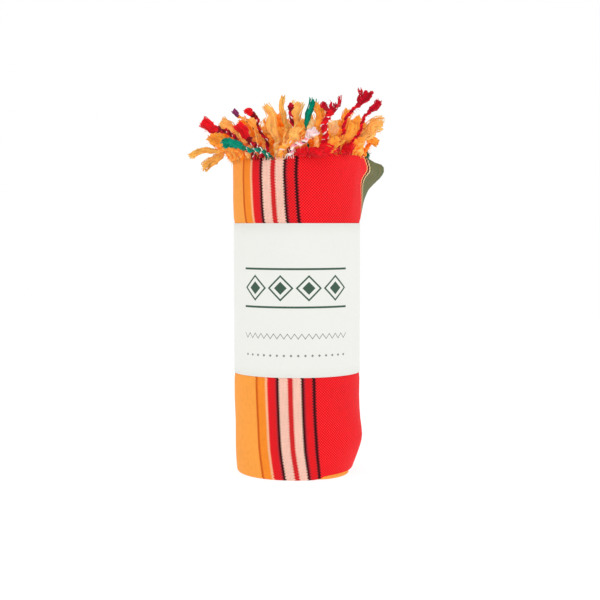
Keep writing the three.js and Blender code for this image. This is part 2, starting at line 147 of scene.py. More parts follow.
def volume_of(part):
    """Signed volume: each face, seen from its first corner, as a fan of tetrahedra to the origin."""
    total = 0.0
    for faces in part["faces"]:
        for k in range(1, faces.shape[1] - 1):
            a, b, c = (part["points"][faces[:, i]] for i in (0, k, k + 1))
            total += (a * np.cross(b, c)).sum()
    return total


# %% [markdown]
# ## The way the roll winds
#
# The folded cloth is a packet of six layers, and one turn of the roll is one packet thick. So the
# outer face is an Archimedean spiral: its radius grows by one packet each turn. A place on it is
# given by the arc length s from the front, growing to the right towards the free end, and by the
# depth below the outer face. Past a certain arc length the free end straightens and leaves the roll
# as a small ear at the top. That is not a displacement of the spiral but a change in how much the
# cloth turns with every step, so the cloth keeps its length.

# %% Sizes of the roll
RIM_HEIGHT = 221.0
FRONT_RADIUS = 44.05
PACKET = 6.3
SEAM = 0.3
BACK_FLATTENING = 0.98
FREE_END = 101.0
LEAN = 0.093
CUT_ANGLE = math.radians(-268)
CUT_S = CUT_ANGLE * FRONT_RADIUS
CUT_GAP = 0.012
CORE_TOP = 219.0
SPIRAL_X = -PACKET / 4
EVEN_FROM = 0.7
FLAP_START = 44.0
FLAP_RAMP = 8.0
FLAP_STEPS = 24
BAND_BASE = 71.0
BAND_TOP = 176.0

FLARE = {
    "z": [176, 185, 193, 199, 204, 209, 213.5, 217.5, 221],
    "flare": [0, 0.22, 0.34, 0.47, 0.585, 0.71, 0.84, 0.9, 0.9],
}
SIDES = {
    "z": [0, 8, 16, 21, 25, 30, 38, 51, 71, 176, 193, 221],
    "right": [-5.5, -2.8, -0.1, 1.55, 2.4, 2.1, 1.05, 0.15, 0, 0, 1, 1],
    "left": [-1.5, -0.9, -0.75, -0.75, -0.75, -0.75, -0.75, -0.1, 0, 0, 1, 1.2],
}
EDGES = {
    "s": [-215, -100, -45, 0, 14, 20, 28, 35, 60, 72, 84, 96, 101, 125],
    "rim": [-3.2, -3.0, -1.8, 0, 0.9, 1.2, 1.6, 2.0, 1.6, 0.6, -1.8, -2.7, -4.6, -5.5],
    "base": [0, 0, 0, 0, 0, 0.6, 1.2, 1.6, 1.9, 2.0, 2.2, 2.6, 2.6, 2.6],
}


# %% The spiral and its flap
def spiral_radius(angle):
    """Radius of the outer face: it grows by one packet a turn."""
    return FRONT_RADIUS + PACKET * angle / TURN


def free_end(z):
    """Arc length of the free end at height z. The cloth is rolled a little askew."""
    return FREE_END + LEAN * (RIM_HEIGHT - z)


def turn_point(s, depth, flare):
    """A place on the roll: along the spiral up to FLAP_START, and past it a walk in short steps,
    each turning less than the spiral by the flare. depth is taken off across the last heading."""
    start = FLAP_START / FRONT_RADIUS
    angle = s / FRONT_RADIUS
    radius = spiral_radius(angle) - depth
    step = (np.maximum(angle - start, 0) / FLAP_STEPS)[..., None]
    here = start + step * (np.arange(FLAP_STEPS) + 0.5)
    straighter = flare[..., None] * smooth((here - start) * FRONT_RADIUS / FLAP_RAMP)
    turning = step * (1 - straighter)
    drift = math.atan(PACKET / TURN / spiral_radius(start))
    heading = start - drift + np.cumsum(turning, axis=-1) - turning / 2
    x = spiral_radius(start) * math.sin(start) + (np.cos(heading) * spiral_radius(here) * step).sum(-1)
    y = -spiral_radius(start) * math.cos(start) + (np.sin(heading) * spiral_radius(here) * step).sum(-1)
    facing = start + turning.sum(-1)
    on_flap = angle > start
    return (
        np.where(on_flap, x - depth * np.sin(facing), radius * np.sin(angle)),
        np.where(on_flap, y + depth * np.cos(facing), -radius * np.cos(angle)),
    )


def settle(x, y, z):
    """The roll's own unevenness: its right and left sides shift by a table, alike in every layer."""
    x, y, z = np.broadcast_arrays(x, y, z)
    r = np.maximum(np.hypot(x, y), EVEN_FROM * FRONT_RADIUS)
    right = read(SIDES, z, "right") * (np.maximum(0, x) / r) ** 2
    left = read(SIDES, z, "left") * (np.maximum(0, -x) / r) ** 2
    return np.stack([SPIRAL_X + x + right - left, y * BACK_FLATTENING, z], axis=-1)


# %% [markdown]
# ## Creases
#
# Rolled cotton is smooth where the band presses it and loosens past the band: it swells a little
# above and below the paper, and long soft ridges and troughs run up to the rim and down to the
# fold. Noise would spread the same crumple everywhere, and a cloth simulation would move the
# stripes, so each crease is placed one by one: where it is, how it leans, how wide, long and deep.
# All the layers of a turn are lifted by the same amount, so they never cut through each other.

# %% Creases listed one by one, in mm, and the swelling next to the band
CREASES = {
    "s": [-190, -165, -141, -118, -92, -66, -40, 8, 22, 33, 47, 58, 71, 84, 93],
    "z": [205, 30, 207, 22, 200, 34, 200, 30, 206, 44, 198, 26, 196, 40, 205],
    "lean": [0.1, -0.2, 0.25, 0.1, -0.15, 0.12, 0.1, -0.22, 0.3, 0.2, 0.35, -0.3, 0.2, 0.1, 0.4],
    "width": [9, 12, 7, 10, 8, 13, 10, 9, 6, 7, 6, 8, 7, 9, 5],
    "reach": [26, 34, 20, 30, 30, 28, 22, 26, 18, 22, 24, 20, 26, 34, 18],
    "depth": [0.7, 0.6, -0.5, 0.8, 0.6, 0.5, 0.35, 0.45, 0.5, -0.45, 0.7, 0.6, -0.5, 0.8, 0.6],
}
CREASE_RISE = 12.0
SWELLING = 0.5
SWELLING_RISE = 5.0
SWELLING_REACH = 16.0


def lifted(s, z):
    """How far the cloth stands out of the plain roll: a soft bump for each crease, longer than it
    is wide and leaning, and a swelling that dies away from the band's two edges."""
    lift = np.zeros(np.broadcast(s, z).shape)
    for at, height, lean, width, reach, depth in zip(*CREASES.values()):
        along, across = (z - height) / reach, (s - at - lean * (z - height)) / width
        lift += depth * np.exp(-(across**2) - along**4)
    past = np.maximum(z - BAND_TOP, BAND_BASE - z)
    swell = SWELLING * smooth(past / SWELLING_RISE) * np.exp(-((past / SWELLING_REACH) ** 2))
    return np.where(past > 0, lift * smooth(past / CREASE_RISE) + swell, 0)


# %% [markdown]
# ## The folded packet
#
# Seen on its edge the packet is one long ribbon. Folded once, so that both fringed ends meet, and
# then in three, it has its fringed pair of layers outside, and four layers inside them that turn
# over at the top and at the bottom. Each ribbon of cloth is drawn once as a line in depth and
# height, given its thickness on both sides, and carried along the spiral. A solid wall would show
# a blank top and bottom, and separate sheets would have no folds.

# %% Layers and folds of the packet
THICK = 0.6
LAYERS = [0.35, 1.42, 2.65, 3.52, 4.4, 5.32]
SECOND_RIM = RIM_HEIGHT - 0.9
FOUR_TOP = 216.4
TOP_FOLD = 1.65
FOLD_HEIGHT = 1.95
HALF_FOLD_HEIGHT = 1.1
SPLIT_HEIGHT = 4.0
ROW_GAP = 1.0
# heights at which a straight stretch of cloth has points, if they are no nearer to its ends than ROW_GAP
ROWS = np.array([4, 7, 10, 14, 18, 21, 25, 30, 36, 44, 54, 66, 71, 74, 95, 123, 152, 173, 176, 180, 184])
FOUR_ROWS = np.concatenate([ROWS, [188, 192, 195.5, 199, 202, 205, 207.5, 210, 212.5]])
PAIR_ROWS = np.concatenate([FOUR_ROWS, [215, 217.5]])
CORE_ROWS = np.array([3.5, 8, 16, 25, 38, 71, 123, 176, 200])


def wall(depth, low, high, rows, down):
    """A straight stretch of one layer between two heights, as depth and height pairs."""
    between_ends = (rows > low + ROW_GAP) & (rows < high - ROW_GAP)
    z = np.concatenate([[low], rows[between_ends], [high]])
    return np.stack([np.full(len(z), depth), z[::-1] if down else z], axis=-1)


def fold(start, end, z, down, points):
    """A half circle from one layer's depth to another's, hanging below height z or standing on it."""
    turn = np.linspace(0, math.pi, points + 2)[1:-1]
    middle, radius = (start + end) / 2, abs(end - start) / 2
    way = -1 if down else 1
    return np.stack([middle + (start - middle) * np.cos(turn), z + way * radius * np.sin(turn)], axis=-1)


def ribbon(*stretches):
    """The outline round a ribbon's middle line: out along one side, round the end, back along the
    other. The sides lie half a thickness away, across the line."""
    line = np.concatenate(stretches)
    ahead = unit(np.gradient(line, axis=0))
    across = np.stack([ahead[:, 1], -ahead[:, 0]], axis=-1) * THICK / 2
    tip, tail = line[-1] + ahead[-1] * THICK / 3, line[0] - ahead[0] * THICK / 3
    outline = np.concatenate([line + across, [tip], (line - across)[::-1], [tail]])
    travelled = np.concatenate([[0], np.cumsum(np.linalg.norm(np.diff(line, axis=0), axis=1))])
    length = np.concatenate([travelled, travelled[-1:], travelled[::-1], travelled[:1]])
    return outline, length


def zigzag(rows, down, walls):
    """A ribbon that goes down and up through the packet by turns, starting down or up. Each of its
    walls is a layer's number, its two heights and how many points the fold after it has."""
    stretches = []
    for number, (layer, low, high, points) in enumerate(walls):
        sinking = down == (number % 2 == 0)
        stretches.append(wall(LAYERS[layer], low, high, rows, sinking))
        if points:
            after = LAYERS[walls[number + 1][0]]
            stretches.append(fold(LAYERS[layer], after, low if sinking else high, sinking, points))
    return ribbon(*stretches)


# %% [markdown]
# The cloth's own coordinates go into its uv map, in millimetres: across the stripes, counted from
# the dark line that starts the striped border, and along them. The stripes follow the cloth, which
# is rolled askew, so their place on the roll slides with the height. That slide is a short table.
# Where the free end leaves the roll, its corner has been tugged about, so a second table pulls the
# stripes a little to the right or to the left there.

# %% Where the stripes run
DARK_LINE = {
    "z": [0, 5, 10.5, 16, 21.5, 32.5, 49, 71, 123, 178, 186.5, 195, 203, 209, 215, 221],
    "s": [
        *(-23.4, -24.2, -25.1, -26, -26.7, -27.4, -28.1, -28.6),
        *(-33.5, -38.8, -39.6, -40.1, -40.5, -40.8, -40.6, -40.2),
    ],
}
PULL = {
    "z": [180, 188, 196, 203, 207, 213, 221],
    "to the right": [0, -3, -6, -8.4, -4.6, 6.6, -4.5],
}
PULL_FROM = 45.0
PULL_RAMP = 20.0
PULL_EASE = np.linspace(-2.4, 2.4, 5)


def carried(outline, length, s_end, flare_share, columns):
    """A ribbon's outline carried along the spiral. s runs from the cut to s_end, which may change
    with height, and heights over the band follow the rim and those under it the base."""
    depth, z = outline[:, 0][None, :], outline[:, 1][None, :]
    share = np.linspace(0, 1, columns)[:, None]
    s = CUT_S + (s_end(z) - CUT_S) * share
    rim = (z - BAND_TOP) / (RIM_HEIGHT - BAND_TOP) * read(EDGES, s, "rim")
    base = (1 - z / BAND_BASE) * read(EDGES, s, "base")
    height = z + np.where(z > BAND_TOP, rim, 0) + np.where(z < BAND_BASE, base, 0)
    x, y = turn_point(s, depth - lifted(s, z), flare_share * read(FLARE, z, "flare"))
    return settle(x, y, height), cloth_uv(s, z, length)


def cloth_uv(s, z, length):
    """Across the stripes from the dark line, and along the ribbon, both in mm. The pull is the mean
    of a few heights near by, which rounds the corners of its table."""
    s, z, length = np.broadcast_arrays(s, z, length)
    pulled = np.mean([read(PULL, z + ease, "to the right") for ease in PULL_EASE], axis=0)
    pull = pulled * smooth((s - PULL_FROM) / PULL_RAMP)
    return np.stack([s - read(DARK_LINE, z, "s") - pull, length], axis=-1)


def ribbon_part(points, uv):
    """A carried outline as a part: faces round it, and its two ends closed by the quads between
    facing points of the outline."""
    columns, sides = points.shape[:2]
    half = (sides - 2) // 2
    near = np.arange(half - 1)
    end = np.stack([near, near + 1, 2 * half - near - 1, 2 * half - near], axis=-1)
    tips = np.array([[half - 1, half, half + 1], [2 * half, 2 * half + 1, 0]])
    last = (columns - 1) * sides
    faces = [sweep_faces(1, columns, sides), end[:, ::-1], end + last, tips[:, ::-1], tips + last]
    return {"points": points.reshape(-1, 3), "faces": faces, "uv": uv.reshape(-1, 2)}


# %% [markdown]
# ## Shader sums
#
# Materials are worked out from sums on sockets. A small class holds one socket and turns Python's
# arithmetic into Math nodes, and one method adds any other node.


# %% A socket that can be reckoned with
class Socket:
    """An output of a material's nodes. Arithmetic on it adds Math nodes."""

    def __init__(self, output):
        self.output = output
        self.tree = output.id_data

    def node(self, kind, settings=None, inputs=None, output=0):
        """Any node: its settings are set first, then its sockets get numbers or links."""
        node = self.tree.nodes.new(kind)
        for name, value in (settings or {}).items():
            if name == "stops":
                while len(node.color_ramp.elements) < len(value):
                    node.color_ramp.elements.new(1)
                for element, (position, colour) in zip(node.color_ramp.elements, value):
                    element.position = position
                    element.color = colour
            elif name == "ramp":
                node.color_ramp.interpolation = value
            else:
                setattr(node, name, value)
        for name, value in (inputs or {}).items():
            if isinstance(value, Socket):
                self.tree.links.new(value.output, node.inputs[name])
            else:
                node.inputs[name].default_value = value
        return Socket(node.outputs[output])

    def sibling(self, output):
        """Another output of the node that this one comes from."""
        return Socket(self.output.node.outputs[output])

    def maths(self, operation, *others):
        """One Math node on this socket and the others."""
        return self.node("ShaderNodeMath", {"operation": operation}, dict(enumerate([self, *others])))

    def __add__(self, other):
        return self.maths("ADD", other)

    def __mul__(self, other):
        return self.maths("MULTIPLY", other)

    def __sub__(self, other):
        return self.maths("SUBTRACT", other)

    def __rsub__(self, other):
        return (self * -1) + other

    def __truediv__(self, other):
        return self.maths("DIVIDE", other)

    __radd__ = __add__
    __rmul__ = __mul__

    def step(self, low, high):
        """0 below low, 1 above high, and a smooth way between them."""
        inputs = {"Value": self, "From Min": low, "From Max": high}
        return self.node("ShaderNodeMapRange", {"interpolation_type": "SMOOTHSTEP"}, inputs)


def mixed(factor, first, second, blend="MIX"):
    """Two colours mixed by a factor. A Mix node has its colours at inputs 6 and 7 and output 2."""
    settings = {"data_type": "RGBA", "blend_type": blend}
    return factor.node("ShaderNodeMix", settings, {0: factor, 6: first, 7: second}, 2)


def toned(colour, tone):
    """A colour multiplied by a tone that is about 1."""
    grey = tone.node("ShaderNodeCombineColor", None, {0: tone, 1: tone, 2: tone})
    return mixed(tone * 0 + 1, colour, grey, "MULTIPLY")


def noise(place, scale, detail=2.0, roughness=0.5):
    """Soft noise from 0 to 1 at a place."""
    inputs = {"Vector": place, "Scale": scale, "Detail": detail, "Roughness": roughness}
    return place.node("ShaderNodeTexNoise", None, inputs)


def swing(value, width):
    """Noise from 0 to 1 moved to lie round nothing, and this wide."""
    return (value - 0.5) * width


def split(place):
    """The first and second coordinates of a place."""
    first = place.node("ShaderNodeSeparateXYZ", None, {0: place})
    return first, first.sibling(1)


def stretched(place, scale, turned=(0, 0, 0)):
    """A place turned, and scaled along each axis."""
    return place.node("ShaderNodeMapping", None, {"Vector": place, "Scale": scale, "Rotation": turned})


def bumped(height, distance, strength):
    """A normal that follows a height. The distance is how many metres a height of 1 stands for."""
    return height.node("ShaderNodeBump", None, {"Height": height, "Distance": distance, "Strength": strength})


def material(name, fixed):
    """A new material with the constant sockets of its shader set, and its coordinates: the uv map
    and the object's own place."""
    made = bpy.data.materials.new(name)
    made.use_nodes = True
    shader = made.node_tree.nodes["Principled BSDF"]
    for socket, value in fixed.items():
        shader.inputs[socket].default_value = value
    coordinates = made.node_tree.nodes.new("ShaderNodeTexCoord").outputs
    return made, shader, Socket(coordinates["UV"]), Socket(coordinates["Object"])


def feed(shader, **varying):
    """Links what varies over the surface to the shader's sockets."""
    for name, value in varying.items():
        shader.id_data.links.new(value.output, shader.inputs[name.replace("_", " ")])


def linear(red, green, blue):
    """A colour given as 0 to 255 on screen, turned by the sRGB curve into amounts of light."""
    c = np.array([red, green, blue]) / 255
    return tuple(np.where(c <= 0.04045, c / 12.92, ((c + 0.055) / 1.055) ** 2.4).tolist())


# %% [markdown]
# ## The striped weave
#
# The stripes are in the warp, so they run along the cloth, and one colour of weft crosses them all:
# here a light red one, which warms the cream and speckles the red. The border mirrors itself at
# both selvedges round a wide orange field. A colour ramp without blending holds the stripes, read
# at the distance from the middle of the cloth, so one list serves both borders. An image would do
# the same at one size only. The threads are wide enough to see, and their ups and downs move the
# edge of each stripe to and fro, which gives the fine teeth that such a border has. The olive edge
# is heathered: streaks of green and of a worn grey follow its warp.

# %% Stripes, from the orange field out to the selvedge: width in mm, colour, and how far the weave shows
FIELD_HALF = 355.0
ORANGE = linear(252, 164, 68)
DARK_ORANGE = linear(205, 84, 12)
DEEP_ORANGE = linear(247, 142, 40)
PALE = linear(255, 196, 150)
RED = linear(234, 6, 30)
BLACK = linear(26, 0, 4)
CREAM = linear(255, 223, 202)
MIDDLE_RED = linear(210, 28, 38)
ROSE = linear(172, 36, 56)
WIDE_RED = linear(250, 6, 34)
PIPING = linear(255, 180, 112)
PIPING_SHADOW = linear(72, 28, 8)
PIPING_LIGHT = linear(255, 224, 168)
OLIVE = linear(98, 104, 56)
MOSS = linear(70, 122, 90)
WORN_OLIVE = linear(146, 138, 118)
WEFT = linear(246, 74, 58)
STRIPES = [
    (1.6, DARK_ORANGE, 0.1),
    (6.3, DEEP_ORANGE, 0.1),
    (1.5, PALE, 0.3),
    (5.9, RED, 0.6),
    (1.0, ROSE, 0.8),
    (1.5, BLACK, 0.12),
    (6.5, CREAM, 0.6),
    (3.5, MIDDLE_RED, 0.6),
    (5.9, CREAM, 0.6),
    (1.5, BLACK, 0.12),
    (0.9, ROSE, 0.8),
    (4.5, RED, 0.6),
    (1.0, ROSE, 0.8),
    (1.5, BLACK, 0.12),
    (0.8, ROSE, 0.8),
    (63.6, WIDE_RED, 0.7),
    (1.8, PIPING, 0.2),
    (3.0, PIPING_SHADOW, 0.3),
    (1.9, PIPING_LIGHT, 0.2),
    (30.5, OLIVE, 0.2),
]
FIELD_DOTS = 0.1
LEAD = 1.0


def stripe_stops():
    """Ramp stops over the border at one selvedge: positions are shares of its width and of a short
    lead before it. The fourth number of each colour is how strongly the weave shows in it."""
    width = sum(stripe[0] for stripe in STRIPES)
    edges = np.cumsum([0] + [stripe[0] for stripe in STRIPES])[:-1]
    stops = [(0.0, (*ORANGE, FIELD_DOTS))]
    for edge, (_, colour, dots) in zip(edges, STRIPES):
        stops.append(((edge + LEAD) / (width + LEAD), (*colour, dots)))
    return stops, width


# %% The cloth's material
THREADS = 1.95
TOOTH = 0.42
TOOTH_SLOPE = 2.0
WANDER = 0.25
DARK_LINE_HALF = STRIPES[0][0] / 2
WEFT_SHOWS = 0.75
# painted shade: the stripes are multiplied by this colour in the hollows of the weave
PAINTED_HOLLOW_SHADE = (0.55, 0.26, 0.26, 1)
SELVEDGE = (0.785, 0.795)
HEATHER, MOSSY, WORN = 0.6, (0.46, 0.62), (0.5, 0.66)
SLUB_SCALE = (1.6, 0.06, 1)
SLUB_TONE, SLOW_TONE, GRAIN_TONE = 0.22, 0.2, 0.28
WEAVE_RISE, CORD_RISE, SLUB_RISE = 0.5, 0.2, 0.6
COTTON_FINISH = {
    "Roughness": 0.9,
    "Sheen Weight": 0.05,
    "Sheen Roughness": 0.5,
    "Specular IOR Level": 0.12,
}


def cotton_cloth():
    """Striped, warp-faced cotton: ramp colours at the stripe coordinate, teeth and weft speckles by the
    weave, painted shade in the weave's hollows, an olive edge heathered with moss and grey, faint
    slubs, and a bump from the threads."""
    made, shader, uv, place = material("striped_cotton", COTTON_FINISH)
    across, along = split(uv)
    wave_across = (across * (TURN / THREADS)).maths("SINE")
    wave_along = (along * (TURN / THREADS)).maths("SINE")
    weave = wave_across * wave_along
    teeth = (wave_along * TOOTH_SLOPE).maths("MINIMUM", 1).maths("MAXIMUM", -1) * TOOTH
    drift = swing(noise(uv, 0.9), WANDER)
    from_middle = (across + teeth + drift + FIELD_HALF + DARK_LINE_HALF).maths("ABSOLUTE")
    stops, width = stripe_stops()
    share = (from_middle - (FIELD_HALF - LEAD)) / (width + LEAD)
    colour = share.node("ShaderNodeValToRGB", {"stops": stops, "ramp": "CONSTANT"}, {0: share})
    dots = colour.sibling(1)
    speckled = mixed(weave.step(0.0, 0.5) * dots * WEFT_SHOWS, colour, (*WEFT, 1))
    # painted shade: where the weave is low, as it is in the bump, the colour is darkened
    with_painted_shade = mixed((weave * -1).step(0.0, 0.5) * dots, speckled, PAINTED_HOLLOW_SHADE, "MULTIPLY")
    slubs = noise(stretched(uv, SLUB_SCALE), 1.0, 3)
    edge = share.step(*SELVEDGE) * HEATHER
    mossy = mixed(edge * slubs.step(*MOSSY), with_painted_shade, (*MOSS, 1))
    worn = mixed(edge * (1 - slubs).step(*WORN), mossy, (*WORN_OLIVE, 1))
    slow = noise(place, 26, 2)
    grain = noise(place, 380, 3, 0.7)
    tone = swing(slubs, SLUB_TONE) + swing(slow, SLOW_TONE) + swing(grain, GRAIN_TONE) + 1
    height = weave * WEAVE_RISE + wave_across * CORD_RISE + slubs * SLUB_RISE
    bump = bumped(height, 0.00022, 0.55)
    feed(shader, Base_Color=toned(worn, tone), Normal=bump, Roughness=0.84 + slow * 0.12)
    print("stripe border:", round(width, 1), "mm wide at each selvedge")
    return made


COTTON = cotton_cloth()

# %% [markdown]
# ## The outer turn
#
# The fringed pair is the cloth that shows all round. Its outer layer goes down from the rim, turns
# under the second one and goes up to where the four inner layers begin. The second layer turns
# inside it. Both ribbons are one piece, because they are one width of cloth.

# %% The fringed pair of layers
OUTER_COLUMNS = 190
SECOND_FLARE = 0.97


def fringed_pair(layer, partner, rim, flare):
    """One layer of the pair: down from its rim, round the fold, and up to where the four begin."""
    walls = [(layer, FOLD_HEIGHT, rim, 9), (partner, FOLD_HEIGHT, SPLIT_HEIGHT, 0)]
    outline, length = zigzag(PAIR_ROWS, True, walls)
    return ribbon_part(*carried(outline, length, free_end, flare, OUTER_COLUMNS))


pair = [fringed_pair(0, 3, RIM_HEIGHT, 1), fringed_pair(1, 2, SECOND_RIM, SECOND_FLARE)]
outer = build("kikoy_outer_cloth", pair, COTTON)

# %% [markdown]
# The four layers inside the pair are one ribbon: up, over, down to the first fold of all, up again
# and over the lot. They stick out a little past the pair at the free end.

# %% The four folded layers
FOUR_COLUMNS = 130
FOUR_EXTRA = 3.0
FOUR_FLARE = 0.5


def four_end(z):
    """Arc length at height z where the four layers end, a little past the pair."""
    return free_end(z) + FOUR_EXTRA


def folded_four():
    """Up the fourth layer, over to the fifth, down, round the half fold, up the sixth, over to the
    third and down again."""
    low, high = SPLIT_HEIGHT + SEAM, FOUR_TOP - TOP_FOLD
    walls = [
        (3, low, high, 5),
        (4, HALF_FOLD_HEIGHT, high, 5),
        (5, HALF_FOLD_HEIGHT, high, 9),
        (2, low, high, 0),
    ]
    outline, length = zigzag(FOUR_ROWS, False, walls)
    return ribbon_part(*carried(outline, length, four_end, FOUR_FLARE, FOUR_COLUMNS))


folded = build("kikoy_folded_layers", [folded_four()], COTTON)

# %% [markdown]
# ## The turns inside
#
# Inside the outermost turn the packet winds on, a little over five times, to a middle only a few
# millimetres across. Only its two ends show, but it is modelled whole: it costs little, and the
# spiral of folds at each end then has its true depth. Low on the right its outermost layers stand
# out as a lip, an orange sliver under the red edge.

# %% The rolled core
INNER_RADIUS = 6.9
CORE_STEP = 3.2
CORE_FOLD_DROP = 2.0
CORE_SECOND_RIM = CORE_TOP - 0.8
LIP_OUT = 7.5
LIP_MIDDLE = math.radians(48 - 360)
LIP_WIDTH = math.radians(32)
LIP_HEIGHT = 6.0
LIP_RISE = 4.0


def rolled_core():
    """The whole packet as one ribbon from the first fringed edge to the second, along the spiral
    from the cut to the middle, in steps of equal length. Its lower edge stands out in a low lip."""
    top = CORE_TOP - CORE_FOLD_DROP - TOP_FOLD
    walls = [
        (0, FOLD_HEIGHT, CORE_TOP, 7),
        (3, FOLD_HEIGHT, top, 3),
        (4, HALF_FOLD_HEIGHT, top, 3),
        (5, HALF_FOLD_HEIGHT, top, 7),
        (2, FOLD_HEIGHT, top, 3),
        (1, FOLD_HEIGHT, CORE_SECOND_RIM, 0),
    ]
    outline, length = zigzag(CORE_ROWS, True, walls)
    outside, inside = spiral_radius(CUT_ANGLE - CUT_GAP), INNER_RADIUS
    columns = int(math.pi * (outside**2 - inside**2) / PACKET / CORE_STEP)
    radius = np.sqrt(np.linspace(inside**2, outside**2, columns))[:, None]
    angle = (radius - FRONT_RADIUS) * TURN / PACKET
    depth, z = outline[:, 0][None, :], outline[:, 1][None, :]
    beside = np.exp(-(((angle - LIP_MIDDLE) / LIP_WIDTH) ** 4))
    depth = depth - LIP_OUT * smooth((LIP_HEIGHT - z) / LIP_RISE) * beside
    settled = settle((radius - depth) * np.sin(angle), -(radius - depth) * np.cos(angle), z)
    cloth_length = CUT_S - math.pi * (outside**2 - radius**2) / PACKET
    return ribbon_part(settled, cloth_uv(cloth_length, z, length))


core = build("kikoy_rolled_core", [rolled_core()], COTTON)

# %% [markdown]
# ## The paper band
#
# The band is a strip of plain paper, half an A4 sheet, wrapped round and glued where its ends
# overlap at the back. It lies tight on the cloth and bridges the step at the cloth's free end in a
# straight line. As a real strip it has two ends, so it is a thin outline carried once round the
# roll and a little further, and its outer end climbs over its inner end.

# %% The band's shape
PAPER = 0.2
BAND_OUT = 0.5
OVERLAP = 15.0
PAPER_SEAM = math.radians(197)
BAND_COLUMNS = 260
BAND_ROWS = 12
EDGE_ROUND = 0.05
BRIDGE_TURN = 0.5
CLIMB = 0.3
CLIMB_FROM = -0.12
CURL = 0.5
CURL_FROM = 0.24
CLIMB_TURN = 0.1


def band_radius(azimuth, z, out):
    """Distance from the axis to the band: the spiral plus `out`, and from the free end a straight
    line down to the turn below, which it touches half a radian further on."""
    end = free_end(z) / FRONT_RADIUS
    high, low = spiral_radius(end) + out, spiral_radius(end + BRIDGE_TURN - TURN) + out
    bridge = np.arccos(low / high)
    past = np.mod(azimuth - end, TURN)
    return np.where(past < bridge, low / np.cos(bridge - past), spiral_radius(end + past - TURN) + out)


def paper_strip():
    """The outline of the strip's edge, carried round from the seam and past it by the overlap,
    where it climbs over its own start and curls up a little."""
    z = np.linspace(BAND_BASE, BAND_TOP, BAND_ROWS)
    ones = np.ones(BAND_ROWS)
    ring_z = np.concatenate([z, [BAND_TOP + EDGE_ROUND], z[::-1], [BAND_BASE - EDGE_ROUND]])[None, :]
    side = np.concatenate([ones, [0], -ones, [0]])[None, :] * PAPER / 2
    sweep = np.linspace(0, TURN + OVERLAP / FRONT_RADIUS, BAND_COLUMNS)[:, None]
    azimuth = PAPER_SEAM + sweep
    climb = CLIMB * smooth((sweep - TURN - CLIMB_FROM) / CLIMB_TURN)
    curl = CURL * smooth((sweep - TURN - CURL_FROM) / CLIMB_TURN)
    radius = band_radius(azimuth, ring_z, BAND_OUT + climb + curl + side)
    points = settle(radius * np.sin(azimuth), -radius * np.cos(azimuth), ring_z)
    arc = (azimuth - TURN) * FRONT_RADIUS
    return ribbon_part(points, np.stack(np.broadcast_arrays(arc, ring_z), axis=-1))


# %% [markdown]
# The paper is matt and slightly warm, with fibres that show as faint mottling and a small bump. It
# is printed with a plain ornament: a row of dark green lozenges between two rules, and a grey
# zigzag and a row of grey dots below it.

# %% The band's material
PAPER_WHITE = linear(235, 236, 231)
INK_GREEN = linear(18, 70, 46)
INK_GREY = linear(70, 76, 74)
LOZENGE_PITCH, LOZENGE_HEIGHT = 19.4, 132.0
LOZENGE_RING, LOZENGE_LINE, LOZENGE_HEART = 8.2, 0.8, 4.45
RULE_AWAY, RULE_LINE = 13.0, 0.7
FINE_PITCH = 4.85
ZIGZAG_HEIGHT, ZIGZAG_SLOPE, ZIGZAG_LINE = 97.5, 1.4, 0.4
DOTS_HEIGHT, DOT = 86.0, 1.0
ORNAMENT_HALF = 38.85
SOFT = 0.05
GREEN_INK, GREY_INK = 0.96, 0.8


def below(value, edge):
    """1 where a value is below an edge and 0 above it, softened over a tenth of a millimetre."""
    return 1 - value.step(edge - SOFT, edge + SOFT)


def stroke(value, middle, half):
    """1 where a value lies within `half` of `middle`."""
    return below((value - middle).maths("ABSOLUTE"), half)


def printed_paper():
    """Off-white paper with fibres, and the ornament as masks on the strip's own coordinates. A
    lozenge is where the ways across and up from its middle add up to less than its size."""
    made, shader, uv, place = material("band_paper", {"Roughness": 0.6, "Specular IOR Level": 0.35})
    across, up = split(uv)
    tile = ((across / LOZENGE_PITCH).maths("FRACT") - 0.5) * LOZENGE_PITCH
    lozenge = tile.maths("ABSOLUTE") + (up - LOZENGE_HEIGHT).maths("ABSOLUTE")
    nested = stroke(lozenge, LOZENGE_RING, LOZENGE_LINE) + below(lozenge, LOZENGE_HEART)
    rules = stroke((up - LOZENGE_HEIGHT).maths("ABSOLUTE"), RULE_AWAY, RULE_LINE)
    fine = ((across / FINE_PITCH).maths("FRACT") - 0.5).maths("ABSOLUTE") * FINE_PITCH
    zigzag = stroke(up - fine * ZIGZAG_SLOPE, ZIGZAG_HEIGHT, ZIGZAG_LINE)
    dots = below(fine + (up - DOTS_HEIGHT).maths("ABSOLUTE"), DOT)
    middle = below(across.maths("ABSOLUTE"), ORNAMENT_HALF)
    green = ((nested + rules) * middle).maths("MINIMUM", 1)
    grey = ((zigzag + dots) * middle).maths("MINIMUM", 1)
    fibres = noise(place, 900, 4, 0.65)
    cloud = noise(place, 60, 2)
    paper = toned((*PAPER_WHITE, 1), swing(fibres, 0.05) + swing(cloud, 0.03) + 1)
    printed = mixed(green * GREEN_INK, mixed(grey * GREY_INK, paper, (*INK_GREY, 1)), (*INK_GREEN, 1))
    feed(shader, Base_Color=printed, Normal=bumped(fibres + cloud * 0.5, 0.00008, 0.35))
    return made


band_piece = build("kikoy_paper_band", [paper_strip()], printed_paper())

# %% [markdown]
# ## The fringe
#
# Each strand is a bundle of warp threads that leaves the cloth's edge, is twisted with its
# neighbour into a cord, knotted, and left as a brush of loose threads past the knot. The frame's
# fringe solids hold where every strand runs, as three-sided tubes on a narrow strip, so the lines
# are read back from them and no list of strands is needed. A tube's end is the one triangle all of
# whose corners have four neighbours, and walking from it towards the strip, three corners at a
# time, gives its rings.

# %% Reading the strands back from the frame
RING_AT = [1.0, 0.72, 0.36]
CAP_NEIGHBOURS = 4
DECIMALS = 3


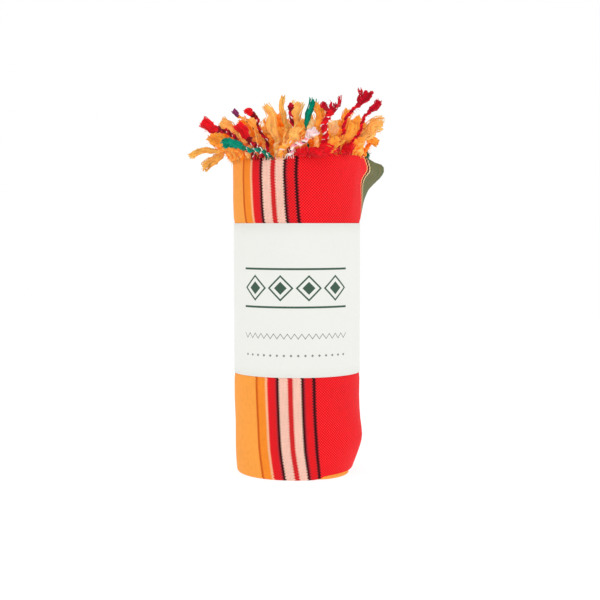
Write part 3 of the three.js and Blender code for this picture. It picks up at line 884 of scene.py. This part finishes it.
def strand_lines(node):
    """Root, bend and tip of each strand, in mm: the three control points of its curve, whose
    points at three shares of its length are the middles of the tube's rings."""
    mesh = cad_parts[node].data
    mesh.calc_loop_triangles()
    points = np.empty(3 * len(mesh.vertices))
    mesh.vertices.foreach_get("co", points)
    triangles = np.empty(3 * len(mesh.loop_triangles), int)
    mesh.loop_triangles.foreach_get("vertices", triangles)
    points, same = np.unique(np.round(points.reshape(-1, 3) / MM, DECIMALS), axis=0, return_inverse=True)
    triangles = same.reshape(-1)[triangles].reshape(-1, 3)
    pairs = np.concatenate([triangles[:, [0, 1]], triangles[:, [1, 2]], triangles[:, [2, 0]]])
    pairs = np.unique(np.concatenate([pairs, pairs[:, ::-1]]), axis=0)
    neighbours = np.bincount(pairs[:, 0], minlength=len(points))
    caps = triangles[(neighbours[triangles] == CAP_NEIGHBOURS).all(axis=1)]
    strand = np.full(len(points), -1)
    strand[caps] = np.arange(len(caps))[:, None]
    middles = [points[caps].mean(axis=1)]
    reached = strand >= 0
    for _ in RING_AT:
        ahead = reached[pairs[:, 0]] & (strand[pairs[:, 1]] < 0)
        strand[pairs[ahead, 1]] = strand[pairs[ahead, 0]]
        reached = np.zeros(len(points), bool)
        reached[pairs[ahead, 1]] = True
        count = np.bincount(strand[reached], minlength=len(caps))[:, None]
        total = np.stack([np.bincount(strand[reached], points[reached, k], len(caps)) for k in range(3)], -1)
        middles.append(total / count)
    tip, _, low, root = middles
    t = RING_AT[2]
    bend = (low - root * (1 - t) ** 2 - tip * t**2) / (2 * t * (1 - t))
    print(f"{node}: {len(caps)} strands, roots at about z {root[:, 2].mean():.0f} mm")
    return root, bend, tip


# %% [markdown]
# A fringe that has been handled is a tangle. Some strands still stand out whole, and the rest are
# worn short, lean and lie across each other, so those are cut back and pushed aside by repeatable
# amounts. What stands out is told apart by where its tip lies: each row of this table dyes and
# dresses the strand that ends nearest to it. Most strands are orange, as the field is.

# %% Dyes of the strands
DYES = {
    "orange": linear(255, 162, 60),
    "amber": linear(255, 184, 96),
    "deep": linear(250, 128, 24),
    "peach": linear(255, 204, 140),
    "tan": linear(236, 172, 84),
    "red": linear(226, 20, 32),
    "crimson": linear(192, 12, 38),
    "wine": linear(120, 14, 24),
    "teal": linear(0, 138, 112),
    "green": linear(22, 104, 78),
    "white": linear(252, 238, 232),
    "blush": linear(250, 212, 212),
    "pink": linear(246, 150, 170),
    "black": linear(38, 14, 16),
    "purple": linear(140, 50, 100),
}
COMMON = ["orange", "deep", "amber", "deep", "orange", "peach", "amber"]

# tip x, y, z in the frame | two plies, the thin thread between them, the brush | thickness, how much
# of the strand is left, share of it where the knot sits, how far the brush spreads, how far it forks
# in mm | where the tip is moved to, in mm from its place
SINGLED_OUT = [
    ((-64, -26, 212), "tan amber deep tan", (1.00, 1.00, 0.45, 1.30, 1), (0, 0, 0)),
    ((-74, -22, 222), "tan tan deep tan", (0.72, 1.00, 0.55, 1.10, 0), (0, 0, 0)),
    ((-58, -46, 231), "orange deep amber orange", (1.25, 1.00, 0.50, 1.30, 2), (0, 0, 3)),
    ((-63, -46, 242), "wine crimson white red", (1.15, 1.00, 0.79, 0.95, 2), (0, -12, 2)),
    ((-49, -54, 229), "green teal white teal", (0.95, 1.00, 0.70, 1.15, 1), (0, 0, 0)),
    ((-62, -34, 250), "orange amber deep amber", (1.20, 0.80, 0.45, 1.40, 2), (0, 6, 0)),
    ((-51, -36, 250), "orange amber wine purple", (0.70, 1.00, 0.86, 0.80, 1), (8, 4, 3)),
    ((-36, -34, 254), "wine crimson white red", (1.05, 1.00, 0.86, 0.75, 0), (2, 8, 0)),
    ((-38, -39, 267), "wine crimson white red", (1.15, 1.00, 0.62, 1.05, 1), (-2, -8, -26)),
    ((-18, -36, 258), "tan peach orange amber", (1.25, 1.00, 0.35, 0.85, 0), (3, 0, -6)),
    ((-12, -46, 268), "tan amber peach tan", (0.80, 0.92, 0.45, 0.75, 0), (2, 4, -2)),
    ((-10, -34, 263), "deep orange amber orange", (1.10, 0.70, 0.45, 1.10, 0), (0, 0, 0)),
    ((-3, -38, 254), "wine crimson white crimson", (1.00, 1.00, 0.93, 0.50, 0), (5, -10, -9)),
    ((-1, -55, 268), "crimson red red red", (1.05, 0.32, 0.20, 1.20, 2), (5, -2, -12)),
    ((1, -56, 235), "orange amber white amber", (1.15, 1.00, 0.85, 0.80, 0), (0, 0, 0)),
    ((2, -30, 262), "orange amber deep amber", (1.25, 1.00, 0.50, 1.10, 3), (0, 0, -6)),
    ((11, -36, 264), "green teal green teal", (0.70, 0.96, 0.50, 1.05, 2), (-2, -4, -3)),
    ((15, -59, 237), "white pink black blush", (0.95, 1.00, 0.78, 0.95, 2), (-1, 0, 0)),
    ((24, -53, 229), "crimson red red red", (1.05, 1.00, 0.20, 1.20, 2), (0, 0, -5)),
    ((24, -42, 260), "red crimson white crimson", (1.50, 1.00, 0.80, 0.50, 12), (0, -6, -3)),
    ((47, -35, 264), "crimson red wine crimson", (0.90, 1.00, 0.78, 1.30, 5), (1, -10, 0)),
    ((29, -47, 267), "red orange amber orange", (1.20, 0.45, 0.25, 1.30, 2), (2, -4, -10)),
    ((40, -33, 265), "red crimson wine red", (1.10, 0.30, 0.40, 1.20, 3), (0, -6, -9)),
    ((40, -38, 249), "orange orange deep orange", (1.20, 0.85, 0.40, 1.30, 2), (0, 4, 0)),
    ((55, -25, 259), "crimson red wine crimson", (0.80, 1.00, 0.80, 1.00, 1), (0, -6, 0)),
    ((59, -12, 246), "orange amber deep amber", (1.60, 1.00, 0.30, 1.10, 2), (0, 0, 0)),
    ((59, -1, 231), "orange deep red orange", (1.00, 0.85, 0.55, 1.00, 0), (0, 0, 0)),
    ((57, 1, 267), "green green green green", (0.50, 0.06, 0.70, 0.80, 0), (-2, -2, -2)),
]


# %% All that is known about each strand of a fringe
SIZES = {
    "thickness": (1.0, 1.35),
    "left": (0.42, 0.72),
    "knot": (0.3, 0.6),
    "spread": (1.0, 1.5),
    "fork": (0, 4.0),
}
PUSHED = (np.array([-4, -0.8, -2.8]), np.array([4, 7.2, 1.2]))
ROOT_SUNK = 1.2
SHAPE_SALT = 20


def between(ends, share):
    """The value that lies the given share of the way from the first end to the second."""
    return ends[0] + (ends[1] - ends[0]) * share


def cut_back(root, bend, tip, left):
    """The first part of each quadratic curve, as long as the share `left`. Its new bend lies that
    share of the way to the old one, and its new tip that share of the way from there to the place
    as far along the second leg."""
    near = root + (bend - root) * left
    far = bend + (tip - bend) * left
    return near, near + (far - near) * left


def strand_set(node, salt):
    """Curves, colours and sizes of a fringe's strands: repeatable picks, overruled by the table."""
    root, bend, tip = LINES[node]
    count = len(root)
    dice = [scatter(count, salt + k) for k in range(12)]
    palette = np.array([DYES[name] for name in COMMON])
    colours = palette[(np.stack(dice[:4], -1) * len(COMMON)).astype(int)]
    sizes = np.stack([between(ends, roll) for ends, roll in zip(SIZES.values(), dice[4:9])], axis=-1)
    aside = between(PUSHED, np.stack(dice[9:12], axis=-1))
    for place, names, wanted, moved in SINGLED_OUT:
        away = np.linalg.norm(tip - place, axis=1)
        if away.min() > np.linalg.norm(ALL_TIPS - place, axis=1).min():
            continue
        nearest = int(np.argmin(away))
        colours[nearest] = [DYES[name] for name in names.split()]
        sizes[nearest] = wanted
        aside[nearest] = moved
    one = {name: sizes[:, k : k + 1] for k, name in enumerate(SIZES)}
    bend, tip = cut_back(root, bend, tip, one["left"])
    one.update(root=root - [0, 0, ROOT_SUNK], bend=bend + aside / 2, tip=tip + aside)
    one.update(colours=colours, salt=salt + SHAPE_SALT)
    return one


# %% [markdown]
# A tube is a ring of points carried along a line. The directions across the line come from one
# fixed direction for the whole tube, so that the ring never spins on its way. Cotton is never quite
# round, so each point of a ring may stand in or out a little.


# %% Tubes along many lines at once
SIDEWAYS = 0.8


def frames(lines):
    """Unit vectors along each line and two across it, for an array of lines x points x 3. The fixed
    direction is y, or x for a line that itself runs along y."""
    ahead = unit(np.gradient(lines, axis=1))
    whole = unit(lines[:, -1:] - lines[:, :1])
    fixed = np.where(np.abs(whole[..., 1:2]) > SIDEWAYS, [1.0, 0, 0], [0, 1.0, 0])
    across = unit(np.cross(np.broadcast_to(fixed, ahead.shape), ahead))
    return ahead, across, np.cross(ahead, across)


def tubes(lines, radii, sides, dye, rough=0.0):
    """Closed tubes round an array of lines x points x 3, with a radius for every point. The uv pair
    is the way round and the way along, in mm. dye is a colour for each line, or for each point, and
    rough the share of the radius by which a point of a ring may stand in or out."""
    count, rings = lines.shape[:2]
    _, across, other = frames(lines)
    turn = np.arange(sides) * TURN / sides
    radii = np.broadcast_to(radii, (count, rings))[..., None, None]
    lumps = 1 + rough * (2 * scatter(count * rings * sides, rings).reshape(count, rings, sides, 1) - 1)
    round_it = across[:, :, None] * np.cos(turn)[:, None] + other[:, :, None] * np.sin(turn)[:, None]
    points = lines[:, :, None] + radii * lumps * round_it
    step = np.linalg.norm(np.diff(lines, axis=1, prepend=lines[:, :1]), axis=-1)
    along = np.broadcast_to(np.cumsum(step, axis=1)[..., None], points.shape[:3])
    around = np.broadcast_to(turn * radii[..., 0], points.shape[:3])
    dye = dye[:, None] if dye.ndim == 2 else dye
    return {
        "points": points.reshape(-1, 3),
        "faces": [sweep_faces(count, rings, sides), end_faces(count, rings, sides)],
        "uv": np.stack([around, along], axis=-1).reshape(-1, 2),
        "dye": np.broadcast_to(dye[:, :, None], points.shape).reshape(-1, 3),
    }


# %% The strand's middle line
CORD_RADIUS = 1.6
BRUSH_RADIUS = 2.7
WAVE, KINK = 1.3, 0.45
FEWEST_WAVES = 1.2
SECOND_WAVE = 0.8
KINKS = (4, 5)
LOOSENING = 3


def middle_line(one, t):
    """Points of every strand at the shares t: its quadratic curve, with a slow wave and a quicker
    kink across it, both of which start at nothing in the cloth."""
    count = len(one["root"])
    t = np.broadcast_to(t, (count, np.shape(t)[-1]))
    weights = np.stack([(1 - t) ** 2, 2 * t * (1 - t), t**2], axis=-1)
    line = weights @ np.stack([one["root"], one["bend"], one["tip"]], axis=1)
    chord = unit(one["tip"] - one["root"])
    side = unit(np.cross(chord, [0, 1.0, 0]))
    beat = FEWEST_WAVES + scatter(count, one["salt"])[:, None]
    late = scatter(count, one["salt"] + 1)[:, None]
    free = smooth(t * LOOSENING)
    slow, quick = TURN * (beat * t + late), TURN * (KINKS[0] * beat * t + late)
    first = free * (WAVE * np.sin(slow) + KINK * np.sin(quick))
    slow, quick = TURN * (SECOND_WAVE * beat * t + late), TURN * KINKS[1] * beat * t
    second = free * (WAVE * np.cos(slow) + KINK * np.cos(quick))
    return line + first[..., None] * side[:, None] + second[..., None] * np.cross(chord, side)[:, None]


# %% [markdown]
# The cord has two plies that wind round each other and one thin thread in the groove between them,
# which makes the light or dark flecks. Each ply is a tube whose middle line is a helix round the
# strand's line. At the root the plies part again, where the cord comes out of the cloth.


# %% Plies and the thread between them
TWIST = 6.5
TWISTS = (0.85, 1.15)
PLY, PLY_AWAY, PLY_ROUGH = 0.58, 0.46, 0.14
THREAD, THREAD_AWAY = 0.3, 0.66
THREAD_SIDES = 3
PARTING, PARTING_END = 0.5, 0.05
UNEVEN, UNEVEN_WAVES = 0.1, 3


def helix(line, radius, phase, twist):
    """A line wound round another: across it by radius, turning once every `twist` mm."""
    _, across, other = frames(line)
    step = np.linalg.norm(np.diff(line, axis=1, prepend=line[:, :1]), axis=-1)
    turn = TURN * np.cumsum(step, axis=1) / twist + phase
    wound = across * np.cos(turn)[..., None] + other * np.sin(turn)[..., None]
    return line + radius[..., None] * wound


def cords(one, rings, sides):
    """The twisted part of each strand, from the cloth to its knot. Its plies and its thread are
    sized and set apart by shares of the cord's radius."""
    salt, thickness, colours = one["salt"], one["thickness"], one["colours"]
    share = np.linspace(0, 1, rings)
    t = one["knot"] * share
    line = middle_line(one, t)
    phase = TURN * scatter(len(line), salt + 3)[:, None]
    twist = TWIST * between(TWISTS, scatter(len(line), salt + 4))[:, None]
    size = CORD_RADIUS * thickness * (1 - UNEVEN * np.sin(TURN * share * UNEVEN_WAVES + phase))
    parted = PLY_AWAY * size * (1 + PARTING * np.exp(-((t / PARTING_END) ** 2)))
    parts = []
    for k in range(2):
        ply = helix(line, parted, phase + k * math.pi, twist)
        parts.append(tubes(ply, PLY * size, sides, colours[:, k], PLY_ROUGH))
    thread = helix(line, THREAD_AWAY * size, phase + math.pi / 2, twist)
    parts.append(tubes(thread, THREAD * size, THREAD_SIDES, colours[:, 2]))
    return parts


# %% [markdown]
# The knot is a small swelling. Past it the threads are loose: a soft lumpy middle fills the brush,
# and fine crimped threads lie over it, each with its own curl and length. Some brushes fork in two.
# At the root the warp threads come out of the cloth's edge side by side and run together into the
# cord. Short stray fibres stand out all along, as they do on any worn cotton.

# %% Knots and brushes
KNOT, KNOT_HALF, KNOT_END, KNOT_ROUGH = 1.3, 0.05, 0.05, 0.12
DOUBLE, DOUBLE_WAVES = 0.1, 6
OPENING = 2.5
CRIMP, CRIMPS, CRIMPING = 0.55, (3, 6), 3
ENDS = (0.88, 1.03)
# each loose thread has a random tint; the second pair is painted light, lighter towards the brush's tips
THREAD_TINTS, PAINTED_LIGHT_TO_TIPS = (0.7, 1.18), (0.85, 1.28)
LOOSE_THREAD, LOOSE_TAPER = 0.46, 0.25
BODY = np.array([0.55, 0.75, 0.88, 0.94, 0.96, 0.94, 0.84, 0.5])
BODY_REACH = (0.05, 0.97)
BODY_SIDES, BODY_ROUGH = 9, 0.22
FORK_THINS = 0.06


def per_thread(values, threads):
    """A column with one value for each strand, spread over all of its threads and their rings."""
    return np.repeat(values[:, :, None], threads, axis=1)


def knots(one, rings, sides):
    """A bead on the line, round and slightly double."""
    share = np.linspace(-1, 1, rings)
    line = middle_line(one, one["knot"] + KNOT_HALF * share)
    bulge = np.sqrt(np.clip(1 - share**2, KNOT_END, 1)) * (1 + DOUBLE * np.cos(share * DOUBLE_WAVES))
    radii = KNOT * CORD_RADIUS * one["thickness"] * bulge
    return [tubes(line, radii, sides, one["colours"][:, 0], KNOT_ROUGH)]


def brushes(one, threads, rings):
    """Loose threads past the knot. They fill the brush evenly, because their distance from its
    middle is the square root of a repeatable number, and end at uneven lengths."""
    salt, count = one["salt"], len(one["root"])
    total, shape = count * threads, (count, threads, 1)
    dice = [scatter(total, salt + k).reshape(shape) for k in range(6, 13)]
    share = np.linspace(0, 1, rings)
    line = middle_line(one, one["knot"] + (1 - one["knot"]) * share)
    _, across, other = frames(line)
    turn = TURN * dice[0]
    widening = 1 + (per_thread(one["spread"], threads) - 1) * share
    opened = (0.5 + 0.5 * smooth(share * OPENING)) * widening
    width = BRUSH_RADIUS * per_thread(one["thickness"], threads) * np.sqrt(dice[1]) * opened
    curl = CRIMP * smooth(share * CRIMPING)
    fork = per_thread(one["fork"], threads) / 2 * np.sign(np.cos(turn)) * share**1.5
    x = width * np.cos(turn) + fork + curl * np.sin(TURN * (share * between(CRIMPS, dice[2]) + dice[3]))
    y = width * np.sin(turn) + curl * np.sin(TURN * (share * between(CRIMPS, dice[4]) + dice[5]))
    middle = line[:, None] + x[..., None] * across[:, None] + y[..., None] * other[:, None]
    ended = middle[:, :, :1] + (middle - middle[:, :, :1]) * between(ENDS, dice[6])[..., None]
    # a random tint for each thread, times painted light that grows towards the tips
    tint = between(THREAD_TINTS, scatter(total, salt + 13))[:, None] * between(PAINTED_LIGHT_TO_TIPS, share)
    dye = np.minimum(np.repeat(one["colours"][:, 3], threads, axis=0)[:, None] * tint[..., None], 1)
    radii = LOOSE_THREAD * (1 - LOOSE_TAPER * share)
    loose = tubes(ended.reshape(total, rings, 3), radii, THREAD_SIDES, dye)
    filled = np.linspace(*BODY_REACH, len(BODY))
    narrow = np.minimum(one["spread"], 1) * (1 - FORK_THINS * one["fork"] * filled)
    radii = BRUSH_RADIUS * one["thickness"] * BODY * narrow
    body_line = middle_line(one, one["knot"] + (1 - one["knot"]) * filled)
    return [loose, tubes(body_line, radii, BODY_SIDES, one["colours"][:, 3], BODY_ROUGH)]


# %% Roots and stray fibres
ROOT_SHARE = 0.14
ROOT_SPREAD, ROOT_JITTER = 3.0, 0.5
ROOT_DEPTH, ROOT_RISING = 2.6, 3
ROOT_TINTS, ROOT_THREAD = (0.85, 1.1), 0.42
STRAY, STRAY_FROM = (1.2, 3.0), (0.03, 0.97)
STRAY_START, STRAY_BEND, STRAY_LEAN = 0.8, 0.6, 0.7
STRAY_RADII = np.array([0.16, 0.14, 0.08])


def roots(one, threads, rings):
    """Warp threads that stand in the cloth's edge, spread along it, and run into the cord."""
    salt, root = one["salt"], one["root"]
    count, total = len(root), len(root) * threads
    share = np.linspace(0, 1, rings)
    line = middle_line(one, ROOT_SHARE * share)[:, None]
    tangent = unit(np.stack([-root[:, 1], root[:, 0] - SPIRAL_X, np.zeros(count)], axis=-1))[:, None, None]
    jitter = scatter(total, salt + 14).reshape(count, threads) - 0.5
    place = np.linspace(-1, 1, threads) + ROOT_JITTER * jitter
    apart = (ROOT_SPREAD * place)[..., None, None] * (1 - smooth(share))[:, None]
    drop = np.array([0, 0, -ROOT_DEPTH]) * (1 - smooth(share * ROOT_RISING))[:, None]
    middle = line + apart * tangent + drop
    tint = between(ROOT_TINTS, scatter(total, salt + 15))[:, None]
    dye = np.minimum(np.repeat(one["colours"][:, 0], threads, axis=0) * tint, 1)
    return [tubes(middle.reshape(total, rings, 3), ROOT_THREAD, THREAD_SIDES, dye)]


def directions(count, salt):
    """Unit vectors that point anywhere."""
    return unit(np.stack([scatter(count, salt + k) - 0.5 for k in range(3)], axis=-1))


def fuzz(one, hairs):
    """Short stray fibres, each of three points, that lean out of the strand in any direction."""
    salt, count = one["salt"], len(one["root"])
    total = count * hairs
    at = between(STRAY_FROM, scatter(total, salt + 16)).reshape(count, hairs)
    start = middle_line(one, at).reshape(total, 3)
    out, lean = directions(total, salt + 17), directions(total, salt + 22)
    thickness = np.repeat(one["thickness"], hairs, axis=0)
    reach = between(STRAY, scatter(total, salt + 25))[:, None] * thickness
    near = start + out * CORD_RADIUS * thickness * STRAY_START
    tip = near + (out + STRAY_LEAN * lean) * reach
    line = np.stack([near, near + out * reach * STRAY_BEND, tip], axis=1)
    dye = np.repeat(one["colours"][:, 3], hairs, axis=0)
    return [tubes(line, STRAY_RADII, THREAD_SIDES, dye)]


# %% The fringe's material
# The emission is painted light: the yarn glows faintly in its own dye, though it is no lamp.
YARN_FINISH_AND_GLOW = {"Roughness": 0.95, "Sheen Weight": 0.1, "Specular IOR Level": 0.05, "Emission Strength": 0.16}
FIBRE_LEAN, FIBRE_SCALE = (0, 0, 0.5), (5, 0.8, 1)


def cotton_cord():
    """Dyed cotton yarn: the strand's own dye, with fine fibres winding along each ply. A little of
    the dye glows: painted light, standing in for the light that passes from thread to thread in a
    loose brush."""
    made, shader, uv, place = material("fringe_cotton", YARN_FINISH_AND_GLOW)
    dye = uv.node("ShaderNodeVertexColor", {"layer_name": "dye"})
    fibres = noise(stretched(uv, FIBRE_SCALE, FIBRE_LEAN), 1.4, 3, 0.6)
    base = toned(dye, swing(fibres, 0.8) + swing(noise(place, 240, 2), 0.6) + 1)
    # painted light: the dyed colour is also fed in as a glow
    feed(shader, Base_Color=base, Emission_Color=base, Normal=bumped(fibres, 0.0003, 0.6))
    return made


# %% Both fringes
YARN = cotton_cord()
LINES = {node: strand_lines(node) for node in ("fringe_outer", "fringe_inner")}
ALL_TIPS = np.concatenate([lines[2] for lines in LINES.values()])
KNOT_RINGS = 5
ROOT_THREADS, ROOT_RINGS = 5, 6


def fringe(name, node, fineness, salt):
    """All the strands of one fringe as one piece. fineness gives rings and sides of the cords, the
    number of loose threads in a brush, their rings, and the number of stray fibres."""
    rings, sides, threads, thread_rings, hairs = fineness
    one = strand_set(node, salt)
    parts = cords(one, rings, sides) + knots(one, KNOT_RINGS, sides) + brushes(one, threads, thread_rings)
    parts += roots(one, ROOT_THREADS, ROOT_RINGS) + fuzz(one, hairs)
    return build(name, parts, YARN)


outer_fringe = fringe("kikoy_fringe_outer", "fringe_outer", (24, 7, 34, 9, 50), 1)
inner_fringe = fringe("kikoy_fringe_inner", "fringe_inner", (12, 5, 15, 7, 10), 41)

# %% [markdown]
# ## What each piece stands for
#
# Every piece rides on the one body and stands in for its solid in the frame, which is hidden. Each
# is listed with a slot of the same name as its material. The width of cloth in the outer turn is
# worked out at half height and printed.

# %% Pieces, bodies and the outer turn's width
PLACES = [
    (outer, "outer_cloth", "striped_cotton"),
    (folded, "folded_layers", "striped_cotton"),
    (core, "rolled_core", "striped_cotton"),
    (outer_fringe, "fringe_outer", "fringe_cotton"),
    (inner_fringe, "fringe_inner", "fringe_cotton"),
    (band_piece, "paper_band", "band_paper"),
]
for piece, node, slot in PLACES:
    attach(piece, "root")
    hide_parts(node)

HALF_HEIGHT = 110
TURN_WIDTH = (free_end(HALF_HEIGHT) - CUT_S) * MM
print(f"outer turn: {TURN_WIDTH:.3f} m of the cloth's width")

# %% [markdown]
# ## Floor, light and camera
#
# The roll stands on a plain white floor in even light from all round, with a little more from both
# sides, as in a white tent. The floor gives off some light of its own, so it stays white under the
# roll. The camera stands level with the top edge of the band and looks down by a few degrees.

# %% The floor and the light
FLOOR_HALF = 1.5
floor_mesh = bpy.data.meshes.new("floor")
corners = [(x * FLOOR_HALF, y * FLOOR_HALF, 0) for x, y in ((-1, -1), (1, -1), (1, 1), (-1, 1))]
floor_mesh.from_pydata(corners, [], [(0, 1, 2, 3)])
floor = bpy.data.objects.new("floor", floor_mesh)
bpy.context.scene.collection.objects.link(floor)
FLOOR_FINISH = {
    "Base Color": (0.2, 0.2, 0.2, 1),
    "Roughness": 1.0,
    "Specular IOR Level": 0.0,
    "Emission Color": (1, 1, 1, 1),
    "Emission Strength": 0.86,
}
floor_mesh.materials.append(material("floor_white", FLOOR_FINISH)[0])

world = bpy.data.worlds.new("tent")
world.use_nodes = True
background = world.node_tree.nodes["Background"].inputs
background["Color"].default_value = (1, 1, 1, 1)
background["Strength"].default_value = 1.0
bpy.context.scene.world = world

LAMP_AIM = np.array([0, 0, 0.12])
LAMP_WIDTH, LAMP_HEIGHT = 0.7, 0.9


def softbox(name, place, power):
    """A rectangular lamp at a place, turned towards the roll."""
    lamp = bpy.data.lights.new(name, "AREA")
    lamp.shape = "RECTANGLE"
    lamp.size, lamp.size_y, lamp.energy = LAMP_WIDTH, LAMP_HEIGHT, power
    holder = bpy.data.objects.new(name, lamp)
    holder.location = place
    x, y, z = place - LAMP_AIM
    holder.rotation_euler = (math.atan2(math.hypot(x, y), z), 0, math.atan2(x, -y))
    bpy.context.scene.collection.objects.link(holder)


softbox("left_light", (-0.9, -0.9, 0.7), 0.4)
softbox("right_light", (1.0, -0.7, 0.6), 0.6)

# %% The camera
IMAGE_WIDTH = 600
FOCAL_PIXELS = 1311
SENSOR = 36.0
CAMERA_PLACE = (0.0021, -0.930, 0.176)
LOOKS_DOWN = 3.35
camera_data = bpy.data.cameras.new("camera")
camera_data.sensor_width = SENSOR
camera_data.lens = SENSOR * FOCAL_PIXELS / IMAGE_WIDTH
camera = bpy.data.objects.new("camera", camera_data)
camera.location = CAMERA_PLACE
camera.rotation_euler = (math.radians(90 - LOOKS_DOWN), 0, 0)
bpy.context.scene.collection.objects.link(camera)
bpy.context.scene.camera = camera
bpy.context.scene.view_settings.view_transform = "Standard"
